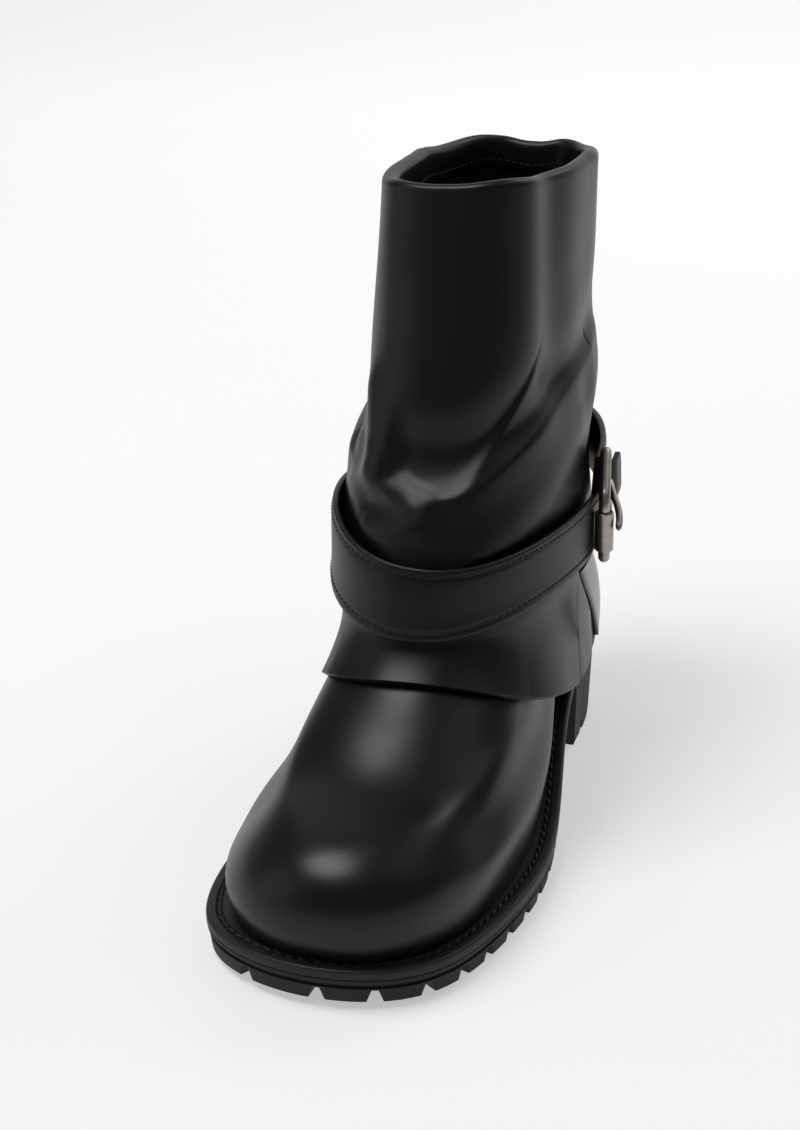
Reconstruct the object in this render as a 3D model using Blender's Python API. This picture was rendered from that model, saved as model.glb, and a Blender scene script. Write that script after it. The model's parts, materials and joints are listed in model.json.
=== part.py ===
"""Left pull-on ankle boot with a lugged sole, a slouched shaft with a flared skirt, and a buckled strap.

The toe points along -Y, the heel along +Y, the wearer's outer (lateral) side is +X and up is +Z.
Sizes are in millimetres; meshes are built in metres, standing on the floor at Z = 0.
"""
import bmesh
import bpy
import math
import numpy as np

MM = 0.001

# Driving dimensions of the boot
SOLE_LENGTH = 278.0
HEEL_HEIGHT = 39.6
FOREFOOT_HEIGHT = 12.6
TOE_SPRING = 3.2
UPPER_WALL = 1.8
SHAFT_WALL = 1.8
GAP = 0.3

# Where the middle of the boot's box lies in the last's own frame
BOX_CENTRE_X = -1.77
BOX_CENTRE_Y = 3.67

# Sole: where the spring, the waist and the heel seat begin, and the thickness of its layers
SPRING_START_Y = -75.0
SPRING_RUN = 64.0
RISE_START_Y = -45.0
RISE_RUN = 115.0
WELT_THICKNESS = 3.3
WELT_CHAMFER = 0.9
WELT_WIDTH = 15.0
SHANK_THICKNESS = 6.0
TREAD_END_Y = -14.0
TREAD_STEP_RUN = 3.0
SOLE_TAPER = 1.5
SOLE_STATIONS = 36
TIP_ANGLE = 0.07
WELT_INNER_TURNS = (0.30, 2.80)

# Side of the outsole from its foot to its top: tapered lugs, a sunk rib line and the upper step
OUTSOLE_SIDE = (
    # share of the height, inset from the outline
    (0.00, SOLE_TAPER),
    (0.60, 0.75),
    (0.66, 1.55),
    (0.78, 1.55),
    (0.84, 0.20),
    (1.00, 0.20),
)

# Lugs: notches round the edge, a sunk field in the middle and blocks standing in it
CUTTER_FLOOR = -2.0
NOTCH_TURNS = (
    # turns of the outline from the toe: lateral side, medial side
    (0.02, 0.24, 0.47, 0.66, 0.81, 0.95, 1.07, 1.18, 1.30, 1.42, 1.54),
    (0.29, 0.61, 0.81, 0.95, 1.07, 1.18, 1.30, 1.42),
)
NOTCH_WIDTH_LOW = 7.6
NOTCH_WIDTH_HIGH = 2.4
NOTCH_LENGTH = 12.0
NOTCH_DEPTH = 4.6
NOTCH_OVERRUN = 4.0
FIELD_INSET = 16.0
FIELD_DEPTH = 4.3
FIELD_FRONT_Y = -116.0
FIELD_BACK_Y = -24.0
FIELD_STATIONS = 10
BLOCK_LENGTH = 14.0
BLOCK_WIDTH = 20.0
BLOCK_RELIEF = 0.1
BLOCK_ROOT = 1.0
BLOCK_PLACES = (
    # x, y
    (-12.0, -98.0),
    (-26.0, -78.0),
    (2.0, -78.0),
    (-12.0, -58.0),
    (-26.0, -38.0),
    (2.0, -38.0),
)

# Heel block
HEEL_BREAST_Y = 63.0
HEEL_BREAST_LEAN = 4.0
HEEL_TOP_INSET = 1.2
HEEL_FOOT_INSET = 2.8
HEEL_STATIONS = 14
HEEL_BREAST_DEPTH = 4.0
HEEL_NOTCH_TURNS = (2.19, 2.36, 2.53, 2.72, 2.95)
HEEL_GROOVE_Y = 100.0
HEEL_GROOVE_REACH = 20.0
HEEL_GROOVE_DEPTH = 3.6

# Insole
INSOLE_THICKNESS = 2.8
INSOLE_CORE_INSET = 19.0
INSOLE_CLEARANCE = 0.5
INSOLE_BED = 1.0

# Rings of cells round the boot
COLUMNS = 42
EVEN_LEVEL = 2.0
SEAM_ANGLE = math.radians(97.0)
SEAM_STEP = 0.8
SEAM_HALF_TURN = 0.012
ROW_STEP = 0.5
PARAMETER_STEP = 0.01
COLLAR_TUCK = 0.32
COLLAR_ROLL = (
    # share of the roll's width, height above the collar's edge
    (0.22, 1.60),
    (0.50, 2.16),
    (0.78, 1.60),
)

# Sole outline: share of the length from the toe, lateral and medial half widths
OUTLINE = np.array([
    # share, lateral, medial
    (0.000, -9.0, 9.0),
    (0.020, 16.0, 34.0),
    (0.062, 30.0, 50.0),
    (0.130, 39.5, 59.0),
    (0.215, 46.0, 62.0),
    (0.330, 50.0, 59.0),
    (0.450, 47.5, 47.0),
    (0.580, 42.0, 36.0),
    (0.720, 39.0, 34.5),
    (0.850, 38.5, 36.0),
    (0.950, 27.5, 26.5),
    (1.000, 0.5, -0.5),
])

# Sections of the foot, from the feather edge to the ankle. Rises are above the welt, half widths
# are beside the section's widest place, heel is the half width of its back, swing moves the toe inwards,
# curve is the roundness in plan, level is how straight the section's edge runs and waist is its nip.
FOOT = np.array([
    # front_y, front_rise, back_y, back_rise, wide_y, lateral, medial, heel, swing, curve, level, waist
    (-134.0, 0.5, 131.0, 0.5, -55.0, 48.0, 48.0, 31.5, -8.0, 2.35, 0.0, 7.0),
    (-137.4, 11.3, 133.0, 8.5, -55.0, 49.2, 50.8, 32.6, -7.4, 2.35, 0.1, 7.0),
    (-135.6, 22.0, 134.0, 16.5, -54.0, 50.0, 46.0, 33.6, -7.0, 2.30, 0.3, 7.0),
    (-129.5, 30.6, 134.0, 25.0, -51.0, 45.1, 39.6, 34.4, -6.2, 2.20, 0.5, 7.0),
    (-116.0, 38.1, 134.0, 34.5, -44.0, 42.0, 35.8, 35.2, -5.3, 2.05, 0.75, 6.5),
    (-94.0, 44.6, 133.0, 45.5, -30.0, 38.6, 35.4, 35.7, -4.4, 2.00, 0.95, 5.5),
    (-68.0, 57.2, 132.0, 58.0, -4.0, 35.6, 34.2, 36.2, -2.6, 2.02, 1.0, 3.0),
    (-45.0, 68.0, 132.0, 70.0, 20.0, 34.6, 32.8, 36.2, -1.2, 2.06, 1.0, 0.5),
    (-35.5, 81.0, 132.0, 84.0, 42.0, 35.2, 35.2, 36.2, -1.0, 2.15, 1.0, 0.0),
])

# Where the foot's plan changes: the toe's swing, the nip of the waist and the round of the heel
SWING_START_Y = -90.0
SWING_RUN = 130.0
WAIST_Y = 22.0
WAIST_RUN = 38.0
WAIST_LATERAL_SHARE = 0.3
HEEL_ROUND = 30.0

# Sections of the sleeve, from the skirt's hem to the collar: heights are above the floor,
# and drop bends a section's edge down towards the heel.
SLEEVE_FIRST_LEVEL = 5.0
SLEEVE = np.array([
    # front_y, front_z, back_y, back_z, wide_y, lateral, medial, centre, curve, drop
    (-55.4, 81.4, 146.0, 41.4, -4.5, 53.4, 38.7, -5.2, 2.18, 2.68),
    (-45.3, 88.9, 143.0, 71.2, 30.0, 41.6, 38.0, -1.9, 2.46, 1.43),
    (-43.3, 95.3, 140.0, 96.0, 39.5, 43.4, 42.6, -1.1, 2.22, 1.0),
    (-38.0, 113.0, 138.0, 122.0, 44.0, 41.5, 42.0, -1.0, 2.20, 1.0),
    (-28.0, 140.0, 136.5, 150.0, 52.0, 40.0, 40.5, 0.0, 2.3, 1.0),
    (-16.0, 173.0, 138.0, 180.0, 60.0, 36.8, 36.8, 1.2, 2.5, 1.0),
    (-5.0, 207.0, 141.0, 209.0, 67.0, 35.6, 35.6, 1.7, 2.7, 1.0),
    (3.0, 243.0, 143.0, 236.5, 73.0, 35.2, 35.2, 1.9, 2.8, 1.0),
])
COLLAR_LEVEL = SLEEVE_FIRST_LEVEL + len(SLEEVE) - 1
TUCK_START_LEVEL = 6.0
TUCK_END_LEVEL = 8.0
BACK_LIFT = 0.63
BACK_SHARPNESS = 0.7
LEG_LEVELS = (8.0, 8.5, 9.0, 9.5, 10.0, 11.0, COLLAR_LEVEL)
COLLAR_RELIEF = 0.06

# Raised folds of the slouched shaft, each a soft ridge between two places on the sleeve
LEVEL_HEIGHT = 30.0
FOLD_RADIUS = 45.0
FOLDS = np.array([
    # level_a, degrees_a, level_b, degrees_b, half_width, height
    (8.95, 9.0, 9.50, 55.0, 12.0, 3.2),
    (9.50, 55.0, 9.85, 104.0, 14.0, 3.0),
    (8.80, -32.0, 8.90, -8.0, 11.0, 2.6),
    (9.60, -70.0, 9.20, -25.0, 13.0, 2.2),
    (9.30, 150.0, 9.10, 215.0, 13.0, 2.6),
])

# Strap round the ankle: turn round the boot from the front, height of its middle, and its width
STRAP_THICKNESS = 2.6
STRAP_LIFT = 2.2
STRAP_CLEARANCE = 1.1
STRAP_LEAN_FROM = -0.6
STRAP_COLUMNS = 52
STRAP_FROM = -256.0
STRAP_TO = 99.0
STRAP_ROUTE = np.array([
    # degrees, middle_z, width
    (-260.0, 118.0, 22.0),
    (-215.0, 118.0, 25.0),
    (-180.0, 114.0, 28.0),
    (-120.0, 106.0, 30.0),
    (-60.0, 112.3, 29.0),
    (0.0, 104.5, 25.2),
    (60.0, 108.1, 22.4),
    (110.0, 103.5, 22.0),
])

STRAP_SECTION = (
    # place across the half width, height above the back
    (-1.00, 0.55),
    (-0.94, 0.00),
    (0.94, 0.00),
    (1.00, 0.55),
    (1.00, STRAP_THICKNESS - 0.55),
    (0.94, STRAP_THICKNESS),
    (-0.94, STRAP_THICKNESS),
    (-1.00, STRAP_THICKNESS - 0.55),
)

# Strap tail: hangs below the buckle, its outline in the plane of the skirt's side
TAIL_THICKNESS = 2.2
TAIL_OUTLINE = [
    # y, z, and how far it stands out from the middle of the boot
    (33.0, 91.0, 46.3),
    (57.0, 90.0, 47.2),
    (58.0, 80.0, 48.3),
    (55.5, 71.0, 49.2),
    (48.0, 60.0, 50.0),
    (38.5, 76.0, 48.2),
]

# Buckle: the loop of its bar, with the roller on the front side and the tongue's prong
BAR_RADIUS = 2.2
ROLLER_RADIUS = 3.6
ROLLER_CLEARANCE = 0.3
BAR_SIDES = 8
CORNER_STEPS = 5
ROLLER_SIDES = 14
ROLLER_END = 5.1
TUBE_SIDE_HINT = (1.0, 0.02, 0.03)
SHARP_DEGREES = 35.0
BAR_POINTS = [
    # corner x, y, z of the loop: roller low, roller high, back high, back low
    (51.0, 47.0, 91.5),
    (51.2, 46.0, 117.5),
    (47.5, 67.0, 131.5),
    (47.5, 71.0, 105.5),
]
BAR_CORNER = 4.5
PRONG_RADIUS = 1.6
PRONG_PATH = [
    (49.0, 66.1, 118.3),
    (50.6, 62.0, 116.9),
    (53.4, 57.0, 113.6),
    (56.3, 50.0, 109.0),
    (56.9, 44.5, 106.0),
]


def clear_scene():
    """Remove every object from the scene."""
    for item in list(bpy.data.objects):
        bpy.data.objects.remove(item, do_unlink=True)


def ease(share):
    """Smooth step from 0 to 1."""
    share = np.clip(share, 0.0, 1.0)
    return share * share * (3.0 - 2.0 * share)


def spline(knots, values, at):
    """Natural cubic curve through a row of values for each knot, read at any array of places."""
    knots = np.asarray(knots, float)
    values = np.asarray(values, float)
    at = np.asarray(at, float)
    count = len(knots)
    step = np.diff(knots)
    system = np.eye(count)
    right = np.zeros_like(values)
    for i in range(1, count - 1):
        system[i, i - 1:i + 2] = step[i - 1], 2.0 * (step[i - 1] + step[i]), step[i]
        right[i] = 6.0 * ((values[i + 1] - values[i]) / step[i] - (values[i] - values[i - 1]) / step[i - 1])
    bend = np.linalg.solve(system, right)
    i = np.clip(np.searchsorted(knots, at, side="right") - 1, 0, count - 2)
    width = step[i][..., None]
    low = (knots[i + 1] - at)[..., None] / width
    high = (at - knots[i])[..., None] / width
    curve = ((low**3 - low) * bend[i] + (high**3 - high) * bend[i + 1]) * width**2 / 6.0
    return low * values[i] + high * values[i + 1] + curve


def toe_spring(y):
    """How far the sole rises towards the toe."""
    return TOE_SPRING * np.clip((SPRING_START_Y - y) / SPRING_RUN, 0.0, 1.0) ** 2


def welt_top(y):
    """Height of the welt's upper face along the boot."""
    rise = (HEEL_HEIGHT - FOREFOOT_HEIGHT) * ease((y - RISE_START_Y) / RISE_RUN)
    return FOREFOOT_HEIGHT + toe_spring(y) + rise


def outsole_top(y):
    """Height of the outsole's upper face, under the welt."""
    return welt_top(y) - WELT_THICKNESS - GAP


def outsole_under(y):
    """Height of the outsole's underside: flat tread, a step at the waist, then the thin shank."""
    tread = toe_spring(y)
    shank = outsole_top(y) - SHANK_THICKNESS
    return tread + (shank - tread) * ease((y - TREAD_END_Y) / TREAD_STEP_RUN)


def power(value, exponent):
    """Signed power, the rounding of a superellipse."""
    return np.sign(value) * np.abs(value) ** exponent


def foot(level, angle):
    """Outer face of the foot part: a ring for each level, angle 0 at the toe and 90 degrees lateral."""
    level, angle = np.broadcast_arrays(np.asarray(level, float), np.asarray(angle, float))
    columns = np.moveaxis(spline(np.arange(len(FOOT)), FOOT, level), -1, 0)
    front_y, front_rise, back_y, back_rise, wide_y, lateral, medial, heel, swing, curve, flat, waist = columns
    along = power(np.cos(angle), 2.0 / curve)
    across = power(np.sin(angle), 2.0 / curve)
    y = np.where(along >= 0.0, wide_y - (wide_y - front_y) * along, wide_y - (back_y - wide_y) * along)
    half = np.where(across >= 0.0, lateral, medial)
    half = half + (heel - half) * ease((y - wide_y) / (back_y - HEEL_ROUND - wide_y))
    nip = np.where(across < 0.0, waist, WAIST_LATERAL_SHARE * waist)
    half = half - nip * np.exp(-((y - WAIST_Y) / WAIST_RUN) ** 2)
    x = swing * (1.0 - ease((y - SWING_START_Y) / SWING_RUN)) + half * across
    share = (y - front_y) / (back_y - front_y)
    rise = front_rise + (back_rise - front_rise) * share
    front_z = front_rise + welt_top(front_y)
    back_z = back_rise + welt_top(back_y)
    straight = front_z + (back_z - front_z) * share
    z = flat * straight + (1.0 - flat) * (welt_top(y) + rise)
    return np.stack([x, y, z], -1)


def sleeve(level, angle):
    """Outer face of the shaft and its skirt: a ring for each level between the hem and the collar."""
    level, angle = np.broadcast_arrays(np.asarray(level, float), np.asarray(angle, float))
    knots = SLEEVE_FIRST_LEVEL + np.arange(len(SLEEVE))
    columns = np.moveaxis(spline(knots, SLEEVE, level), -1, 0)
    front_y, front_z, back_y, back_z, wide_y, lateral, medial, centre, curve, drop = columns
    along = power(np.cos(angle), 2.0 / curve)
    across = power(np.sin(angle), 2.0 / curve)
    y = np.where(along >= 0.0, wide_y - (wide_y - front_y) * along, wide_y - (back_y - wide_y) * along)
    x = centre + np.where(across >= 0.0, lateral, medial) * across
    share = np.clip((back_y - y) / (back_y - front_y), 0.0, 1.0)
    z = back_z + (front_z - back_z) * share**drop
    return np.stack([x, y, z], -1)


def normals(surface, level, angle):
    """Outward unit normals of a ring surface, from small steps along its two parameters."""
    step = PARAMETER_STEP
    along = surface(level, angle + step) - surface(level, angle - step)
    up = surface(level + step, angle) - surface(level - step, angle)
    normal = np.cross(along, up)
    return normal / np.linalg.norm(normal, axis=-1, keepdims=True)


def sleeve_at(level, angle, offset):
    """A place on the sleeve, moved out along its normal."""
    return sleeve(level, angle) + normals(sleeve, level, angle) * np.asarray(offset)[..., None]


def upper_face(level, angle):
    """Outer face of the upper: the foot below the skirt, and close inside the sleeve above it."""
    level, angle = np.broadcast_arrays(np.asarray(level, float), np.asarray(angle, float))
    share = ease((level - TUCK_START_LEVEL) / (TUCK_END_LEVEL - TUCK_START_LEVEL))[..., None]
    low = foot(np.minimum(level, len(FOOT) - 1.0), angle)
    back = (0.5 - 0.5 * np.cos(angle)) ** BACK_SHARPNESS
    below = np.maximum(TUCK_END_LEVEL - level, 0.0)
    leg_level = np.maximum(level + BACK_LIFT * back * below, SLEEVE_FIRST_LEVEL)
    inside = sleeve_at(leg_level, angle, np.full(level.shape, -(SHAFT_WALL + GAP)))
    return low + (inside - low) * share


def folds(level, angle):
    """Height of the raised folds, each falling away from the line between its two ends."""
    turn = (angle + np.pi) % (2.0 * np.pi) - np.pi
    height = np.zeros(np.broadcast(level, angle).shape)
    for level_a, degrees_a, level_b, degrees_b, half_width, ridge in FOLDS:
        start = np.array([level_a * LEVEL_HEIGHT, math.radians(degrees_a) * FOLD_RADIUS])
        reach = np.array([level_b * LEVEL_HEIGHT, math.radians(degrees_b) * FOLD_RADIUS]) - start
        for wrap in (0.0, 2.0 * np.pi):
            rise = level * LEVEL_HEIGHT - start[0]
            run = (turn + wrap) * FOLD_RADIUS - start[1]
            share = np.clip((rise * reach[0] + run * reach[1]) / (reach @ reach), 0.0, 1.0)
            distance = np.hypot(rise - share * reach[0], run - share * reach[1])
            height = np.maximum(height, ridge * np.exp(-(distance / half_width) ** 2))
    return height


def outline(angle, inset):
    """Sole outline at a turn from toe (0) to heel (pi): lateral and medial points, moved in by inset."""
    knots = np.arccos(1.0 - 2.0 * OUTLINE[:, 0])

    def edges(turn):
        y = SOLE_LENGTH * (-0.5 + 0.5 * (1.0 - np.cos(turn)))
        half = spline(knots, OUTLINE[:, 1:], turn)
        return np.stack([half[..., 0], y], -1), np.stack([-half[..., 1], y], -1)

    step = PARAMETER_STEP
    sides = []
    for side, sign in ((0, 1.0), (1, -1.0)):
        run = edges(np.clip(angle + step, 0.0, np.pi))[side] - edges(np.clip(angle - step, 0.0, np.pi))[side]
        normal = sign * np.stack([run[..., 1], -run[..., 0]], -1)
        normal /= np.linalg.norm(normal, axis=-1, keepdims=True)
        sides.append(edges(angle)[side] - normal * inset)
    return sides


def stations(front_y, back_y, count):
    """Turns of the outline, evenly spread between two places along the boot."""
    first = math.acos(np.clip(-2.0 * front_y / SOLE_LENGTH, -1.0, 1.0))
    last = math.acos(np.clip(-2.0 * back_y / SOLE_LENGTH, -1.0, 1.0))
    return np.linspace(max(first, TIP_ANGLE), min(last, math.pi - TIP_ANGLE), count)


def sole_turns():
    """Turns of the outline that the outsole and the welt share, with two at the tread's step."""
    return np.concatenate([
        stations(-SOLE_LENGTH / 2.0, TREAD_END_Y, SOLE_STATIONS // 2),
        stations(TREAD_END_Y + TREAD_STEP_RUN, SOLE_LENGTH / 2.0, SOLE_STATIONS // 2),
    ])


def even_angles():
    """Angles that divide a ring of the foot into equal lengths, starting at the toe."""
    fine = np.linspace(0.0, 2.0 * np.pi, 721)
    ring = foot(np.full(fine.shape, EVEN_LEVEL), fine)
    length = np.concatenate([[0.0], np.cumsum(np.linalg.norm(np.diff(ring, axis=0), axis=1))])
    half = np.interp(np.linspace(0.0, length[360], COLUMNS // 2 + 1), length[:361], fine[:361])
    return np.concatenate([half, 2.0 * np.pi - half[-2:0:-1]])


def place(points):
    """Points in the last's frame as metres in the boot's frame."""
    moved = np.asarray(points, float) - np.array([BOX_CENTRE_X, BOX_CENTRE_Y, 0.0])
    return moved * MM


def make_material(name, colour, roughness, metallic):
    """Plain Principled material."""
    material = bpy.data.materials.new(name)
    material.use_nodes = True
    shader = material.node_tree.nodes["Principled BSDF"]
    shader.inputs["Base Color"].default_value = (*colour, 1.0)
    shader.inputs["Roughness"].default_value = roughness
    shader.inputs["Metallic"].default_value = metallic
    return material


def make_object(name, points, faces, material):
    """Mesh object from points in the last's frame, with its faces turned outwards."""
    mesh = bpy.data.meshes.new(name)
    mesh.from_pydata([tuple(p) for p in place(points)], [], faces)
    shape = bmesh.new()
    shape.from_mesh(mesh)
    bmesh.ops.triangulate(shape, faces=shape.faces)
    bmesh.ops.recalc_face_normals(shape, faces=shape.faces)
    if shape.calc_volume(signed=True) < 0.0:
        bmesh.ops.reverse_faces(shape, faces=shape.faces)
    shape.to_mesh(mesh)
    shape.free()
    if material is not None:
        mesh.materials.append(material)
        mesh.shade_smooth()
        mesh.set_sharp_from_angle(angle=math.radians(SHARP_DEGREES))
    item = bpy.data.objects.new(name, mesh)
    bpy.context.scene.collection.objects.link(item)
    return item


def ring_faces(rows, columns, close_rows, close_columns):
    """Quads of a grid of points, joined round its rows and its columns as asked."""
    faces = []
    for i in range(rows if close_rows else rows - 1):
        for j in range(columns if close_columns else columns - 1):
            k = (i + 1) % rows
            m = (j + 1) % columns
            faces.append((i * columns + j, i * columns + m, k * columns + m, k * columns + j))
    return faces


def band(name, grid, material, close_columns):
    """Closed solid from a grid whose rows run round a cross-section; open ends are capped."""
    rows, columns, _ = grid.shape
    faces = ring_faces(rows, columns, True, close_columns)
    if not close_columns:
        faces.append(tuple(i * columns for i in range(rows)))
        faces.append(tuple(i * columns + columns - 1 for i in reversed(range(rows))))
    return make_object(name, grid.reshape(-1, 3), faces, material)


def ladder_caps(count, first, flip):
    """Faces across a ring whose first half runs along the lateral side and second half comes back."""
    total = 2 * count
    faces = []
    for i in range(count - 1):
        face = (first + i, first + i + 1, first + total - 2 - i, first + total - 1 - i)
        faces.append(face[::-1] if flip else face)
    return faces


def ladder(name, rings, material):
    """Closed solid from rings stacked upwards, each a lateral run and a medial run back."""
    grid = np.array(rings)
    levels, total, _ = grid.shape
    faces = ring_faces(levels, total, False, True)
    faces += ladder_caps(total // 2, 0, False)
    faces += ladder_caps(total // 2, (levels - 1) * total, True)
    return make_object(name, grid.reshape(-1, 3), faces, material)


def sole_ring(turns, inset, height):
    """Ring of sole points at an inset, with a height for each place along the boot."""
    lateral, medial = outline(turns, inset)
    plan = np.concatenate([lateral, medial[::-1]])
    return np.column_stack([plan, height(plan[:, 1])])


def add_boolean(item, cutter, operation):
    """Boolean modifier with an exact solver; the second shape only serves this one."""
    cutter.hide_render = True
    cutter.display_type = "WIRE"
    modifier = item.modifiers.new(cutter.name, "BOOLEAN")
    modifier.operation = operation
    modifier.solver = "EXACT"
    modifier.object = cutter


def prism(low, high):
    """Points and quads of a block between two four-cornered ends."""
    faces = [(0, 1, 2, 3), (7, 6, 5, 4), (0, 4, 5, 1), (1, 5, 6, 2), (2, 6, 7, 3), (3, 7, 4, 0)]
    return [*low, *high], faces


def join_prisms(name, prisms):
    """One object from separate blocks."""
    points = []
    faces = []
    for corners, quads in prisms:
        faces += [tuple(len(points) + i for i in quad) for quad in quads]
        points += corners
    return make_object(name, points, faces, None)


def edge_notches(places, inset, base):
    """Tapered notches into the sole's edge at turns of the outline on either side."""
    blocks = []
    for side, turn in places:
        near = outline(np.array([turn - 0.02, turn, turn + 0.02]), inset)[side]
        along = (near[2] - near[0]) / np.linalg.norm(near[2] - near[0])
        outward = np.array([along[1], -along[0]]) * (1.0 if side == 0 else -1.0)
        floor = base(near[1][1])
        ends = []
        for reach in (-NOTCH_LENGTH, NOTCH_OVERRUN):
            middle = near[1] + outward * reach
            corners = []
            high = floor + NOTCH_DEPTH
            for width, z in ((-NOTCH_WIDTH_LOW, CUTTER_FLOOR), (NOTCH_WIDTH_LOW, CUTTER_FLOOR),
                             (NOTCH_WIDTH_HIGH, high), (-NOTCH_WIDTH_HIGH, high)):
                corners.append((*(middle + along * 0.5 * width), z))
            ends.append(corners)
        blocks.append(prism(*ends))
    return blocks


def build_outsole(rubber):
    """Outsole with its step, side ribs and lugs."""
    turns = sole_turns()

    def between(share):
        return lambda y: outsole_under(y) + (outsole_top(y) - outsole_under(y)) * share

    rings = [sole_ring(turns, inset, between(share)) for share, inset in OUTSOLE_SIDE]
    outsole = ladder("outsole", rings, rubber)
    places = [(side, turn) for side, turns in enumerate(NOTCH_TURNS) for turn in turns]
    notches = edge_notches(places, SOLE_TAPER, toe_spring)
    add_boolean(outsole, join_prisms("edge_notches", notches), "DIFFERENCE")
    field_turns = stations(FIELD_FRONT_Y, FIELD_BACK_Y, FIELD_STATIONS)
    field = ladder("tread_field", [
        sole_ring(field_turns, FIELD_INSET, lambda y: np.full_like(y, CUTTER_FLOOR)),
        sole_ring(field_turns, FIELD_INSET, lambda y: toe_spring(y) + FIELD_DEPTH),
    ], None)
    add_boolean(outsole, field, "DIFFERENCE")
    blocks = []
    for x, y in BLOCK_PLACES:
        low = toe_spring(y) + BLOCK_RELIEF
        high = low + FIELD_DEPTH + BLOCK_ROOT
        corners = [(x - BLOCK_WIDTH / 2.0, y), (x, y - BLOCK_LENGTH / 2.0),
                   (x + BLOCK_WIDTH / 2.0, y), (x, y + BLOCK_LENGTH / 2.0)]
        blocks.append(prism([(*c, low) for c in corners], [(*c, high) for c in corners]))
    add_boolean(outsole, join_prisms("tread_blocks", blocks), "UNION")
    return outsole


def build_heel(rubber):
    """Stacked heel block with notched lugs round its foot."""
    turns = stations(HEEL_BREAST_Y + HEEL_BREAST_LEAN, SOLE_LENGTH / 2.0, HEEL_STATIONS)

    def lean(ring, share):
        front = ring[:, 1] < HEEL_BREAST_Y + HEEL_BREAST_LEAN + HEEL_BREAST_DEPTH
        ring[front, 1] -= HEEL_BREAST_LEAN * share
        return ring

    top = lean(sole_ring(turns, HEEL_TOP_INSET, lambda y: outsole_under(y) - GAP), 1.0)
    top[:, 2] = outsole_under(top[:, 1]) - GAP
    middle_height = 0.5 * (HEEL_HEIGHT - WELT_THICKNESS - SHANK_THICKNESS)
    middle_inset = 0.5 * (HEEL_TOP_INSET + HEEL_FOOT_INSET)
    middle = lean(sole_ring(turns, middle_inset, lambda y: np.full_like(y, middle_height)), 0.5)
    foot_ring = sole_ring(turns, HEEL_FOOT_INSET, np.zeros_like)
    heel = ladder("heel", [foot_ring, middle, top], rubber)
    places = [(side, turn) for side in (0, 1) for turn in HEEL_NOTCH_TURNS]
    notches = edge_notches(places, HEEL_FOOT_INSET, lambda y: 0.0)
    add_boolean(heel, join_prisms("heel_notches", notches), "DIFFERENCE")
    half = 0.5 * NOTCH_WIDTH_HIGH
    front, back = HEEL_GROOVE_Y - half, HEEL_GROOVE_Y + half
    top = HEEL_GROOVE_DEPTH
    profile = ((front, CUTTER_FLOOR), (back, CUTTER_FLOOR), (back, top), (front, top))
    ends = [[(x, y, z) for y, z in profile] for x in (-HEEL_GROOVE_REACH, HEEL_GROOVE_REACH)]
    add_boolean(heel, join_prisms("heel_groove", [prism(*ends)]), "DIFFERENCE")
    return heel


def build_welt(rubber):
    """Flat welt ring on the outsole, with a chamfered upper edge."""
    turns = sole_turns()
    inner = np.clip(turns, *WELT_INNER_TURNS)
    grid = np.array([
        sole_ring(turns, 0.0, lambda y: welt_top(y) - WELT_THICKNESS),
        sole_ring(turns, 0.0, lambda y: welt_top(y) - WELT_CHAMFER),
        sole_ring(turns, WELT_CHAMFER, welt_top),
        sole_ring(inner, WELT_WIDTH, welt_top),
        sole_ring(inner, WELT_WIDTH, lambda y: welt_top(y) - WELT_THICKNESS),
    ])
    return band("welt", grid, rubber, True)


def build_insole(lining):
    """Insole: a thin plate inside the upper with a core that fills the welt's opening."""
    angles = even_angles()[1:COLUMNS // 2]
    turns = np.concatenate([angles, 2.0 * np.pi - angles[::-1]])

    def ring(inset, height):
        level = np.zeros_like(turns)
        edge = foot(level, turns)
        run = foot(level, turns + PARAMETER_STEP) - foot(level, turns - PARAMETER_STEP)
        outward = np.column_stack([run[:, 1], -run[:, 0]])
        outward /= np.linalg.norm(outward, axis=1, keepdims=True)
        plan = edge[:, :2] - outward * inset
        return np.column_stack([plan, height(plan[:, 1])])

    flange = UPPER_WALL + INSOLE_CLEARANCE
    return ladder("insole", [
        ring(INSOLE_CORE_INSET, lambda y: outsole_top(y) + INSOLE_BED),
        ring(INSOLE_CORE_INSET, lambda y: welt_top(y) + INSOLE_BED),
        ring(flange, lambda y: welt_top(y) + INSOLE_BED),
        ring(flange, lambda y: welt_top(y) + INSOLE_BED + INSOLE_THICKNESS),
    ], lining)


def build_upper(leather):
    """The upper: one hollow wall from the feather edge to just under the collar's roll."""
    angles = even_angles()
    levels = np.concatenate([np.arange(0.0, LEG_LEVELS[0], ROW_STEP), LEG_LEVELS])
    levels[-1] -= COLLAR_RELIEF
    level, angle = np.meshgrid(levels, angles, indexing="ij")
    outer = upper_face(level, angle)
    inner = outer - normals(upper_face, level, angle) * UPPER_WALL
    inner[0, :, 2] = outer[0, :, 2]
    return band("upper", np.concatenate([outer, inner[::-1]]), leather, True)


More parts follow.
